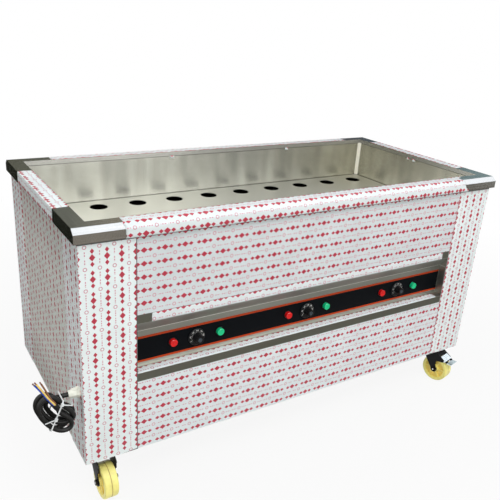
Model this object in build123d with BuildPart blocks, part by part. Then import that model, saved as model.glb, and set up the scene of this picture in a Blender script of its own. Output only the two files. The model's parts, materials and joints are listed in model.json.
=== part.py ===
"""Dim sum steamer cart: a folded stainless body on four casters with an open steam well.

Sizes are in millimetres. +Z is up and Z = 0 is the floor. X runs along the cart from the
operator's left to right, and the operator stands at -Y, in front of the three heater controls.
The origin is on the floor under the middle of the cart.
"""

import math
import os

from build123d import *

os.makedirs("parts", exist_ok=True)

# Body and rim
length = 1500.0  # over the rim
width = 728.0  # over the rim
caster_height = 136.5  # floor to the underside of the body
body_height = 646.5  # underside of the body to the underside of the rim
overhang = 11.0  # rim beyond the body, on every side
sheet = 1.5  # stainless sheet
bend_radius = 3.0  # outside of a corner post's fold
rim_face = 24.0  # upright face of the front and back rails
rim_bevel_drop = 13.0  # bevel above that face
rim_bevel_run = 15.0
rim_flat = 37.0  # flat top of the front and back rails
side_flat = 44.0  # flat top of the end rails, which have no bevel
rim_lip = 15.0  # flange that turns down into the well
tuck = 29.0  # posts and panels run this far up inside the rim
post_front = 150.0  # corner post along the front and back
post_side = 125.0  # corner post along the ends
lap = 15.0  # panels pass this far behind the posts
seam = 0.5  # gap between panels that meet edge to edge

# Steam well
tank_depth = 230.0  # rim top to the tank's floor
tank_gap = 0.5  # rim lip to the tank's wall
plate_drop = 154.0  # rim top to the top of the steam plate
plate_sheet = 2.0
plate_gap = 2.5  # steam plate to the rim's lip
plate_corner = 9.0  # cut off each corner of the steam plate
hole_diameter = 60.0
hole_columns = 10
hole_rows = 4
column_pitch = 139.4
row_pitch = 161.0
ledge_leg = 22.0  # angle strips that carry the steam plate
crossbar_width = 30.0
seal_radius = 10.0  # sealant bead in each upright corner of the well

# Heating elements
element_count = 3
element_pitch = 440.0
element_diameter = 10.0
element_length = 340.0
element_width = 120.0
element_lift = 22.0  # tank floor to the middle of the tube
element_stub = 28.0  # tube left under the tank's floor
element_bend = 15.0
element_turn = 50.0
element_fit = 0.2  # gap round the tube in the floor
nut_across = 19.0
nut_height = 6.0
hex_sides = 6

# Control recess
recess_drop = 260.0  # rim top to the top edge of the recess sheet
recess_lip = 25.0  # flat lip above and below the opening
recess_opening = 152.0
recess_depth = 40.0  # post face to the face of the label
recess_slope = 44.0  # drop of the sloping roof
recess_lap = 15.0  # recess runs this far behind the posts
label_sheet = 0.8
label_height = 80.0
label_rise = 49.0  # ledge of the recess to the middle of the label
label_side_gap = 2.0
control_pitch = 394.0
control_count = 3
lamp_offset = 75.0  # lamp to the knob beside it
lamp_rise = 2.0  # lamps above the knobs
lens_diameter = 22.0
lens_height = 11.0
lens_chamfer = 1.0
bezel_diameter = 25.0
bezel_height = 2.0
barrel_diameter = 15.6
barrel_hole = 16.0
barrel_length = 32.0
lamp_nut_diameter = 22.0
lamp_nut_height = 5.0
knob_skirt_diameter = 52.0
knob_skirt_height = 4.0
knob_skirt_chamfer = 1.5
knob_grip_diameter = 25.0
knob_height = 25.0
knob_flutes = 14
knob_flute_diameter = 2.4
knob_cap_diameter = 13.0
knob_cap_depth = 1.2
knob_gap = 1.0  # knob to the label
knob_bore_depth = 13.0
shaft_diameter = 6.0
shaft_hole = 10.0
shaft_clearance = 0.05
shaft_seat = 20.0  # shaft inside the thermostat
thermostat_size = 42.0
thermostat_depth = 30.0
thermostat_corner = 3.0

# Base
rail_size = 30.0
rail_wall = 2.0
long_rail_inset = 58.0  # long tubes inside the line of the swivel axes
cross_rail_inset = 179.0  # cross tubes in from the end of the body
base_gap = 0.5

# Casters
wheel_diameter = 102.0
wheel_width = 41.0
tread_round = 5.0
parting_groove = 0.8
rim_inner_diameter = 78.0
hub_diameter = 30.0
hub_width = 46.0
web_width = 27.0
hub_draft = 2.0  # taper of the hub and of the rim inside the wheel
rim_draft = 3.0
wheel_ribs = 6
rib_width = 5.0
rib_rise = 3.5
axle_diameter = 10.0
axle_clearance = 0.05
axle_head_across = 15.0
axle_head_height = 5.0
axle_end = 2.0
caster_trail = 38.0
caster_inset_left = 60.0  # swivel axis in from the left end of the body
caster_inset_right = 77.4  # swivel axis in from the right end of the body
caster_inset_y = 55.0  # swivel axis in from the front or back of the body
front_left_turn = 1.0  # degrees that the wheel trails away from straight outwards
front_right_turn = 13.3
back_left_turn = 75.0
back_right_turn = 13.3
caster_plate_x = 95.0
caster_plate_y = 70.0
caster_plate_sheet = 4.0
caster_plate_corner = 6.0
caster_bolt_x = 72.0
caster_bolt_y = 50.0
caster_bolt_diameter = 8.0
caster_bolt_fit = 0.3
caster_bolt_across = 13.0
caster_bolt_head = 5.3
caster_nut_height = 6.5
race_diameter = 52.0
race_height = 6.0
swivel_gap = 0.3
kingpin_diameter = 14.0
kingpin_clearance = 0.05
kingpin_head_diameter = 26.0
kingpin_head_height = 5.0
crown_sheet = 4.0
crown_back = 26.0  # crown behind the swivel axis
crown_front = 34.0  # crown ahead of it, over the wheel
cheek_sheet = 3.0
cheek_gap = 1.2  # hub to cheek
cheek_boss = 12.0  # radius round the axle
cheek_back = 3.0  # cheeks behind the swivel axis
cheek_back_drop = 34.0  # depth of the cheeks at that back edge
crown_skirt = 20.0  # depth of the cheeks at the back of the crown
leg_waist = 4.0  # front edge of a fork's leg, ahead of the axle
leg_flare = 15.0  # height over which the leg widens into the boss
wing_reach = 74.0  # front tip of a braked fork's cheeks, from the swivel axis
wing_drop = 24.0  # crown top to that tip
plain_wing_reach = 54.0  # the same tip on a fork with no brake
plain_wing_drop = 14.0
wing_depth = 9.0
wing_rake = 4.0  # lower corner of the tip behind its upper corner
wing_notch = 40.0  # crown top to the corner between leg and wing
cover_reach = 56.0  # front edge of the braked fork's sloping cover
cover_sheet = 3.0
pedal_pivot_reach = 62.0
pedal_pivot_drop = 24.0
pedal_pin_diameter = 6.0
pedal_pin_clearance = 0.05
pedal_barrel_diameter = 10.0
pedal_sheet = 2.0
pedal_side_gap = 1.0
pedal_cover_gap = 2.0  # pedal to the cover's front edge
pedal_reach = 87.0  # end of the sloping plate, from the swivel axis
blade_reach = 103.0
blade_drop = 31.0  # crown top to the end of the blade
pedal_slot_length = 20.0
pedal_slot_width = 4.0
pedal_slot_inset = 4.0
shoe_gap = 4.5  # brake shoe to the tread
shoe_from = 33.0  # degrees round the wheel from its top
shoe_to = 41.0

# Drain
drain_inset_x = 90.0  # drain pipe in from the middle of the right cross tube
drain_inset_y = 60.0  # drain pipe in from the middle of the back tube
drain_pipe_diameter = 21.3
drain_bore = 16.0
drain_fit = 1.5  # pipe to the base panel
valve_height = 96.0  # valve stem above the floor
valve_diameter = 36.0
valve_length = 46.0
valve_sides = 8
spout_length = 26.0
stem_diameter = 9.0
stem_length = 14.0
stem_clearance = 0.05
lever_sheet = 3.0
lever_width = 16.0
lever_length = 85.0
lever_gap = 0.4

# Supply cable
cable_diameter = 12.5
gland_y = 42.5  # gland behind the front of the rim
gland_drop = 465.0  # rim top to the gland
gland_thread = 22.0
gland_fit = 0.2
gland_across = 26.0
gland_hex = 8.0
gland_dome = 22.0
gland_dome_diameter = 23.0
gland_nose_diameter = 19.0
gland_inside = 14.0
locknut_across = 30.0
locknut_height = 6.0
cable_grip = 0.1  # the gland squeezes the cable by this much on the radius
cable_straight = 14.0  # cable straight out of the gland
terminal_size = (50.0, 40.0, 40.0)
terminal_reach = 50.0  # side of the body to the terminal block

# Cable hank: a stack of oval turns beside the cart, one layer in front of the last
hank_out = 72.2  # hank centre out from the end of the body
hank_drop = 489.5  # rim top to the hank's centre
hank_lean = 31.2  # degrees that the top leans away from the cart
hank_half_run = 37.5
hank_end_radius = 27.5
hank_side_flatness = 2.0
hank_pitch = 13.4
hank_first_turn = 0.25
hank_last_turn = 2.75
hank_climb = 2.0  # layers climbed per turn until the first turn is clear of the lead
hank_climb_extra = 0.5
hank_breath = 3.0  # how much the turns differ in size
hank_breath_turns = 1.7
hank_tail_turns = 0.75
hank_tail_inset = 8.0
hank_tail_run = 30.0
hank_steps = 900  # points at which the gap between the turns is measured
hank_near = 4.0  # diameters along the cable that don't count as another turn
tie_width = 3.4
tie_sheet = 1.4
tie_clearance = 0.7
tie_corner = 5.0
tie_tilt = 35.0
tie_meeting = 14.0  # where the two ties hook together, from the hank's centre
tie_head = (8.0, 5.0, 7.0)
tie_head_places = (35.0, -8.0)
tie_tail_angles = (-20.0, 188.0)  # degrees from the cart's length, seen from the front
tie_tail = 28.0
tie_tail_width = 2.6
core_diameter = 4.0
core_ring = 2.45  # cores' middles from the middle of the cable
core_lengths = (93.0, 94.0, 84.0)
core_bends = ((6.0, 1.0), (8.0, 4.0), (15.0, 10.0))  # degrees off the cable after each bend
arc_share = 0.45  # share of a run that its bend takes up

# Levels and half sizes worked out from the sizes above
body_x = length / 2 - overhang
body_y = width / 2 - overhang
base_z = caster_height
rim_z = base_z + body_height
top_z = rim_z + rim_face + rim_bevel_drop
panel_top_z = rim_z + tuck
rim_band = rim_bevel_run + rim_flat
well_x = length / 2 - side_flat
well_y = width / 2 - rim_band
tank_x = well_x + sheet + tank_gap
tank_y = well_y + sheet + tank_gap
tank_floor_z = top_z - tank_depth
plate_z = top_z - plate_drop
panel_x = body_x - sheet
panel_y = body_y - sheet
post_edge_x = body_x - post_front
post_edge_y = body_y - post_side
recess_top_z = top_z - recess_drop
recess_roof_z = recess_top_z - recess_lip
recess_ledge_z = recess_roof_z - recess_opening
recess_bottom_z = recess_ledge_z - recess_lip
recess_x = post_edge_x + recess_lap
label_face_y = -body_y + recess_depth
recess_back_y = label_face_y + label_sheet
label_z = recess_ledge_z + label_rise
caster_y = body_y - caster_inset_y
long_rail_y = caster_y - long_rail_inset
cross_rail_x = body_x - cross_rail_inset
drain_x = cross_rail_x - drain_inset_x
drain_y = long_rail_y - drain_inset_y
wheel_radius = wheel_diameter / 2
cheek_inner = hub_width / 2 + cheek_gap
cheek_outer = cheek_inner + cheek_sheet
race_z = base_z - caster_plate_sheet - race_height
crown_z = race_z - swivel_gap
gland_axis_y = -width / 2 + gland_y
gland_axis_z = top_z - gland_drop


def save(name, built):
    """Labels a finished piece and writes it as its own STEP file."""
    built.part.label = name
    export_step(built.part, f"parts/{name}.step")


def sheet_box(name, low, high):
    """A plain rectangular sheet between two corners."""
    size = [b - a for a, b in zip(low, high)]
    with BuildPart(Plane(origin=low)) as built:
        Box(*size, align=(Align.MIN, Align.MIN, Align.MIN))
    save(name, built)


# Corner posts: one folded angle at each corner, the front left one holed for the cable gland
for name, side_x, side_y in (
    ("corner_post_front_left", -1, -1),
    ("corner_post_front_right", 1, -1),
    ("corner_post_back_left", -1, 1),
    ("corner_post_back_right", 1, 1),
):
    with BuildPart() as post:
        with BuildSketch(Plane.XY.offset(base_z)) as angle:
            with BuildLine():
                Polyline(
                    (side_x * body_x, side_y * body_y),
                    (side_x * post_edge_x, side_y * body_y),
                    (side_x * post_edge_x, side_y * panel_y),
                    (side_x * panel_x, side_y * panel_y),
                    (side_x * panel_x, side_y * post_edge_y),
                    (side_x * body_x, side_y * post_edge_y),
                    close=True,
                )
            make_face()
            corner = (side_x * body_x, side_y * body_y)
            inner_corner = (side_x * panel_x, side_y * panel_y)
            fillet(angle.vertices().sort_by_distance(corner)[0], bend_radius)
            fillet(angle.vertices().sort_by_distance(inner_corner)[0], bend_radius - sheet)
        extrude(amount=panel_top_z - base_z)
        if name == "corner_post_front_left":
            with BuildSketch(Plane.YZ.offset(-body_x)):
                with Locations((gland_axis_y, gland_axis_z)):
                    Circle(gland_thread / 2 + gland_fit)
            extrude(amount=sheet, mode=Mode.SUBTRACT)
    save(name, post)

# Flat panels behind the posts
front_x = post_edge_x + lap
side_panel_y = post_edge_y + lap
sheet_box(
    "front_upper_panel",
    (-front_x, -panel_y, recess_top_z + seam),
    (front_x, -panel_y + sheet, panel_top_z),
)
sheet_box(
    "front_lower_panel",
    (-front_x, -panel_y, base_z),
    (front_x, -panel_y + sheet, recess_bottom_z - seam),
)
sheet_box(
    "back_panel",
    (-front_x, panel_y - sheet, base_z),
    (front_x, panel_y, panel_top_z),
)
for name, side_x in (("side_panel_left", -1), ("side_panel_right", 1)):
    outer, inner = sorted((side_x * panel_x, side_x * (panel_x - sheet)))
    sheet_box(name, (outer, -side_panel_y, base_z), (inner, side_panel_y, panel_top_z))


# Rim: four folded rails, mitred on top. The long rails are bevelled and capped at their ends
def rim_profile(flat, bevel_run, bevel_drop):
    """Fold line of a rail, outwards from the well: lip, flat top, bevel, face and return."""
    line = [(0, top_z - rim_lip), (0, top_z), (flat, top_z)]
    if bevel_run:
        line.append((flat + bevel_run, top_z - bevel_drop))
    line.append((flat + bevel_run, rim_z))
    line.append((flat + bevel_run - overhang, rim_z))
    return line


def rim_rail(name, outward, half_depth, half_length, flat, next_flat, bevelled):
    """One rail of the rim on the side of the well that faces the outward direction."""
    along = Vector(-outward.Y, outward.X, 0)
    profile = Plane(origin=outward * half_depth, x_dir=outward, z_dir=outward.cross(Vector(0, 0, 1)))
    run, drop = (rim_bevel_run, rim_bevel_drop) if bevelled else (0.0, 0.0)
    with BuildPart() as rail:
        with BuildSketch(profile):
            with BuildLine():
                Polyline(*rim_profile(flat, run, drop))
                offset(amount=sheet, side=Side.RIGHT, kind=Kind.INTERSECTION)
            make_face()
        extrude(amount=half_length + next_flat, both=True)
        for end in (1, -1):
            corner = outward * half_depth + along * (end * half_length)
            mitre = Plane(origin=corner, z_dir=along * (end * flat) - outward * next_flat)
            split(bisect_by=mitre, keep=Keep.BOTTOM)
        if bevelled:
            for end in (1, -1):
                with BuildSketch(profile.offset(end * (half_length + next_flat))):
                    with BuildLine():
                        Polyline(
                            (flat, top_z),
                            (flat + run, top_z - drop),
                            (flat + run, rim_z),
                            (flat, rim_z),
                            close=True,
                        )
                    make_face()
                extrude(amount=-end * sheet)
    save(name, rail)


rim_rail("rim_front", Vector(0, -1, 0), well_y, well_x, rim_flat, side_flat, True)
rim_rail("rim_back", Vector(0, 1, 0), well_y, well_x, rim_flat, side_flat, True)
rim_rail("rim_left", Vector(-1, 0, 0), well_x, well_y, side_flat, rim_flat, False)
rim_rail("rim_right", Vector(1, 0, 0), well_x, well_y, side_flat, rim_flat, False)

# Places of the heating elements' legs
element_places = [
    element_pitch * (index - (element_count - 1) / 2) for index in range(element_count)
]
leg_places = [
    (x - element_length / 2, y)
    for x in element_places
    for y in (-element_width / 2, element_width / 2)
]

# Tank: a deep open tray under the rim, holed for the elements and the drain
with BuildPart() as tank:
    with BuildSketch(Plane.XY.offset(tank_floor_z - sheet)):
        Rectangle(2 * (tank_x + sheet), 2 * (tank_y + sheet))
    extrude(amount=top_z - tank_floor_z)
    with BuildSketch(Plane.XY.offset(tank_floor_z)):
        Rectangle(2 * tank_x, 2 * tank_y)
    extrude(amount=tank_depth, mode=Mode.SUBTRACT)
    with BuildSketch(Plane.XY.offset(tank_floor_z - sheet)):
        with Locations(*leg_places):
            Circle(element_diameter / 2 + element_fit)
        with Locations((drain_x, drain_y)):
            Circle(drain_bore / 2)
    extrude(amount=sheet, mode=Mode.SUBTRACT)
save("tank", tank)

# Sealant beads in the upright corners of the well, from the steam plate to the rim's lip
with BuildPart() as corner_seals:
    for side_x in (-1, 1):
        for side_y in (-1, 1):
            with BuildSketch(Plane.XY.offset(plate_z)):
                with BuildLine():
                    bead_corner = (side_x * tank_x, side_y * tank_y)
                    bead_start = (side_x * (tank_x - seal_radius), side_y * tank_y)
                    bead_end = (side_x * tank_x, side_y * (tank_y - seal_radius))
                    Line(bead_corner, bead_start)
                    Line(bead_start, bead_end)
                    Line(bead_end, bead_corner)
                make_face()
            extrude(amount=top_z - rim_lip - plate_z)
save("corner_seals", corner_seals)

# Supports under the steam plate: an angle along the front and back walls and a crossbar
support_z = plate_z - plate_sheet
with BuildPart() as plate_supports:
    for side_y in (-1, 1):
        with BuildSketch(Plane.YZ.offset(-tank_x)):
            with BuildLine():
                Polyline(
                    (side_y * tank_y, support_z),
                    (side_y * (tank_y - ledge_leg), support_z),
                    (side_y * (tank_y - ledge_leg), support_z - sheet),
                    (side_y * (tank_y - sheet), support_z - sheet),
                    (side_y * (tank_y - sheet), support_z - ledge_leg),
                    (side_y * tank_y, support_z - ledge_leg),
                    close=True,
                )
            make_face()
        extrude(amount=2 * tank_x)
    with BuildSketch(Plane.XZ.offset(-(tank_y - ledge_leg))):
        with BuildLine():
            Polyline(
                (-crossbar_width / 2, support_z - ledge_leg),
                (-crossbar_width / 2, support_z),
                (crossbar_width / 2, support_z),
                (crossbar_width / 2, support_z - ledge_leg),
            )
            offset(amount=sheet, side=Side.RIGHT, kind=Kind.INTERSECTION)
        make_face()
    extrude(amount=2 * (tank_y - ledge_leg))
save("plate_supports", plate_supports)

# Steam plate: lifts out of the well, holed in rows for the stacks of steamer baskets
with BuildPart() as steam_plate:
    with BuildSketch(Plane.XY.offset(support_z)) as deck:
        Rectangle(2 * (well_x - plate_gap), 2 * (well_y - plate_gap))
        chamfer(deck.vertices(), plate_corner)
        with GridLocations(column_pitch, row_pitch, hole_columns, hole_rows):
            Circle(hole_diameter / 2, mode=Mode.SUBTRACT)
    extrude(amount=plate_sheet)
save("steam_plate", steam_plate)

# Heating elements: hairpin tubes over the tank's floor, with both ends down through it
element_z = tank_floor_z + element_lift
element_end_z = tank_floor_z - sheet - element_stub
with BuildPart() as heating_elements:
    for x in element_places:
        near_x, far_x = x - element_length / 2, x + element_length / 2
        front_y, back_y = -element_width / 2, element_width / 2
        with BuildLine() as hairpin:
            FilletPolyline(
                (near_x, front_y, element_end_z),
                (near_x, front_y, element_z),
                (far_x, front_y, element_z),
                (far_x, back_y, element_z),
                (near_x, back_y, element_z),
                (near_x, back_y, element_end_z),
                radius=[element_bend, element_turn, element_turn, element_bend],
            )
        with BuildSketch(Plane(origin=(near_x, front_y, element_end_z))):
            Circle(element_diameter / 2)
        sweep(path=hairpin.line)
save("heating_elements", heating_elements)

# Nuts that seal each element leg above and below the tank's floor
with BuildPart() as element_nuts:
    for nut_z in (tank_floor_z, tank_floor_z - sheet - nut_height):
        with BuildSketch(Plane.XY.offset(nut_z)):
            with Locations(*leg_places):
                RegularPolygon(nut_across / 2, hex_sides, major_radius=False)
                Circle(element_diameter / 2, mode=Mode.SUBTRACT)
        extrude(amount=nut_height)
save("element_nuts", element_nuts)

# Places on the control panel
control_places = [
    control_pitch * (index - (control_count - 1) / 2) for index in range(control_count)
]
red_places = [(x - lamp_offset, lamp_rise) for x in control_places]
green_places = [(x + lamp_offset, lamp_rise) for x in control_places]
panel_face = Plane(origin=(0, label_face_y, label_z), x_dir=(1, 0, 0), z_dir=(0, -1, 0))
wall_back = label_sheet + sheet  # label face to the back of the recess wall

# Control recess: one folded sheet with lips, a sloping roof, a back wall and a ledge
with BuildPart() as control_recess:
    with BuildSketch(Plane.YZ.offset(-recess_x)):
        with BuildLine():
            Polyline(
                (-panel_y, recess_top_z),
                (-panel_y, recess_roof_z),
                (recess_back_y, recess_roof_z - recess_slope),
                (recess_back_y, recess_ledge_z),
                (-panel_y, recess_ledge_z),
                (-panel_y, recess_bottom_z),
            )
            offset(amount=sheet, side=Side.LEFT, kind=Kind.INTERSECTION)
        make_face()
    extrude(amount=2 * recess_x)
    for end_x in (-recess_x, recess_x - sheet):
        with BuildSketch(Plane.YZ.offset(end_x)):
            with BuildLine():
                Polyline(
                    (-panel_y, recess_roof_z),
                    (recess_back_y, recess_roof_z - recess_slope),
                    (recess_back_y, recess_ledge_z),
                    (-panel_y, recess_ledge_z),
                    close=True,
                )
            make_face()
        extrude(amount=sheet)
    with BuildSketch(panel_face):
        with Locations(*red_places, *green_places):
            Circle(barrel_hole / 2)
        with Locations(*[(x, 0) for x in control_places]):
            Circle(shaft_hole / 2)
    extrude(amount=-wall_back, mode=Mode.SUBTRACT)
save("control_recess", control_recess)

# Label strip on the recess wall
label_length = 2 * (recess_x - sheet - label_side_gap)
with BuildPart() as control_label:
    with BuildSketch(panel_face):
        Rectangle(label_length, label_height)
        with Locations(*red_places, *green_places):
            Circle(barrel_hole / 2, mode=Mode.SUBTRACT)
        with Locations(*[(x, 0) for x in control_places]):
            Circle(shaft_hole / 2, mode=Mode.SUBTRACT)
    extrude(amount=-label_sheet)
save("control_label", control_label)

# Indicator lamps: bezel and barrel with a nut behind the wall, and a coloured lens in front
with BuildPart() as lamp_bodies:
    with BuildSketch(panel_face):
        with Locations(*red_places, *green_places):
            Circle(bezel_diameter / 2)
    extrude(amount=bezel_height)
    with BuildSketch(panel_face):
        with Locations(*red_places, *green_places):
            Circle(barrel_diameter / 2)
    extrude(amount=-barrel_length)
    with BuildSketch(panel_face.offset(-wall_back)):
        with Locations(*red_places, *green_places):
            Circle(lamp_nut_diameter / 2)
    extrude(amount=-lamp_nut_height)
save("lamp_bodies", lamp_bodies)

for name, places in (("red_lenses", red_places), ("green_lenses", green_places)):
    with BuildPart() as lenses:
        with BuildSketch(panel_face.offset(bezel_height)):
            with Locations(*places):
                Circle(lens_diameter / 2)
        extrude(amount=lens_height)
        chamfer(lenses.faces().sort_by(Axis.Y)[:control_count].edges(), lens_chamfer)
    save(name, lenses)

# Thermostats behind the wall, with a running bore for each shaft
with BuildPart() as thermostats:
    with BuildSketch(panel_face.offset(-wall_back)):
        with Locations(*[(x, 0) for x in control_places]):
            RectangleRounded(thermostat_size, thermostat_size, thermostat_corner)
            Circle(shaft_diameter / 2 + shaft_clearance, mode=Mode.SUBTRACT)
    extrude(amount=-thermostat_depth)
save("thermostats", thermostats)

# Thermostat shafts and fluted knobs, one of each for every heater
for place, x in zip(("left", "middle", "right"), control_places):
    knob_plane = Plane(origin=(x, label_face_y - knob_gap, label_z), x_dir=(1, 0, 0), z_dir=(0, -1, 0))
    shaft_back = knob_gap + wall_back + shaft_seat
    with BuildPart() as shaft:
        with BuildSketch(knob_plane.offset(-shaft_back)):
            Circle(shaft_diameter / 2)
        extrude(amount=shaft_back + knob_bore_depth)
    save(f"thermostat_shaft_{place}", shaft)

    with BuildPart() as knob:
        with BuildSketch(knob_plane):
            Circle(knob_skirt_diameter / 2)
        extrude(amount=knob_skirt_height)
        chamfer(knob.faces().sort_by(Axis.Y)[0].edges(), knob_skirt_chamfer)
        with BuildSketch(knob_plane.offset(knob_skirt_height)):
            Circle(knob_grip_diameter / 2)
            with PolarLocations(knob_grip_diameter / 2, knob_flutes):
                Circle(knob_flute_diameter / 2, mode=Mode.SUBTRACT)
        extrude(amount=knob_height - knob_skirt_height)
        with BuildSketch(knob_plane.offset(knob_height)):
            Circle(knob_cap_diameter / 2)
        extrude(amount=-knob_cap_depth, mode=Mode.SUBTRACT)
        with BuildSketch(knob_plane):
            Circle(shaft_diameter / 2)
        extrude(amount=knob_bore_depth, mode=Mode.SUBTRACT)
    save(f"knob_{place}", knob)

# Casters: each trails outwards, turned a little as in the photograph
caster_left_x = caster_inset_left - body_x
caster_right_x = body_x - caster_inset_right
caster_axes = [(x, side_y * caster_y) for x in (caster_left_x, caster_right_x) for side_y in (-1, 1)]
bolt_places = [
    (x + dx * caster_bolt_x / 2, y + dy * caster_bolt_y / 2)
    for x, y in caster_axes
    for dx in (-1, 1)
    for dy in (-1, 1)
]

# Base panel with holes for the caster bolts and the drain, and four tubes that stiffen it
base_x = panel_x - sheet - base_gap
base_y = panel_y - sheet - base_gap
with BuildPart() as base_panel:
    with BuildSketch(Plane.XY.offset(base_z)):
        Rectangle(2 * base_x, 2 * base_y)
        with Locations(*bolt_places):
            Circle(caster_bolt_diameter / 2 + caster_bolt_fit, mode=Mode.SUBTRACT)
        with Locations((drain_x, drain_y)):
            Circle(drain_pipe_diameter / 2 + drain_fit, mode=Mode.SUBTRACT)
    extrude(amount=sheet)
save("base_panel", base_panel)

rail_z = base_z + sheet + rail_size / 2
with BuildPart() as base_rails:
    with BuildSketch(Plane.YZ.offset(-base_x)):
        with Locations((-long_rail_y, rail_z), (long_rail_y, rail_z)):
            Rectangle(rail_size, rail_size)
            Rectangle(rail_size - 2 * rail_wall, rail_size - 2 * rail_wall, mode=Mode.SUBTRACT)
    extrude(amount=2 * base_x)
    cross_length = long_rail_y - rail_size / 2
    with BuildSketch(Plane.XZ.offset(-cross_length)):
        with Locations((-cross_rail_x, rail_z), (cross_rail_x, rail_z)):
            Rectangle(rail_size, rail_size)
            Rectangle(rail_size - 2 * rail_wall, rail_size - 2 * rail_wall, mode=Mode.SUBTRACT)
    extrude(amount=2 * cross_length)
save("base_rails", base_rails)

# Caster top plates, each with its ball race and kingpin
pin_end_z = crown_z - crown_sheet - swivel_gap
with BuildPart() as caster_plates:
    with BuildSketch(Plane.XY.offset(base_z)):
        with Locations(*caster_axes):
            RectangleRounded(caster_plate_x, caster_plate_y, caster_plate_corner)
        with Locations(*bolt_places):
            Circle(caster_bolt_diameter / 2 + caster_bolt_fit, mode=Mode.SUBTRACT)
    extrude(amount=-caster_plate_sheet)
    with BuildSketch(Plane.XY.offset(race_z)):
        with Locations(*caster_axes):
            Circle(race_diameter / 2)
    extrude(amount=race_height)
    with BuildSketch(Plane.XY.offset(pin_end_z)):
        with Locations(*caster_axes):
            Circle(kingpin_diameter / 2)
    extrude(amount=race_z - pin_end_z)
    with BuildSketch(Plane.XY.offset(pin_end_z)):
        with Locations(*caster_axes):
            Circle(kingpin_head_diameter / 2)
    extrude(amount=-kingpin_head_height)
save("caster_plates", caster_plates)

# Caster bolts with their nuts above the base panel
bolt_low_z = base_z - caster_plate_sheet
nut_low_z = base_z + sheet
with BuildPart() as caster_bolts:
    with BuildSketch(Plane.XY.offset(bolt_low_z)):
        with Locations(*bolt_places):
            RegularPolygon(caster_bolt_across / 2, hex_sides, major_radius=False)
    extrude(amount=-caster_bolt_head)
    with BuildSketch(Plane.XY.offset(bolt_low_z)):
        with Locations(*bolt_places):
            Circle(caster_bolt_diameter / 2)
    extrude(amount=nut_low_z + caster_nut_height - bolt_low_z)
    with BuildSketch(Plane.XY.offset(nut_low_z)):
        with Locations(*bolt_places):
            RegularPolygon(caster_bolt_across / 2, hex_sides, major_radius=False)
    extrude(amount=caster_nut_height)
save("caster_bolts", caster_bolts)


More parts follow.
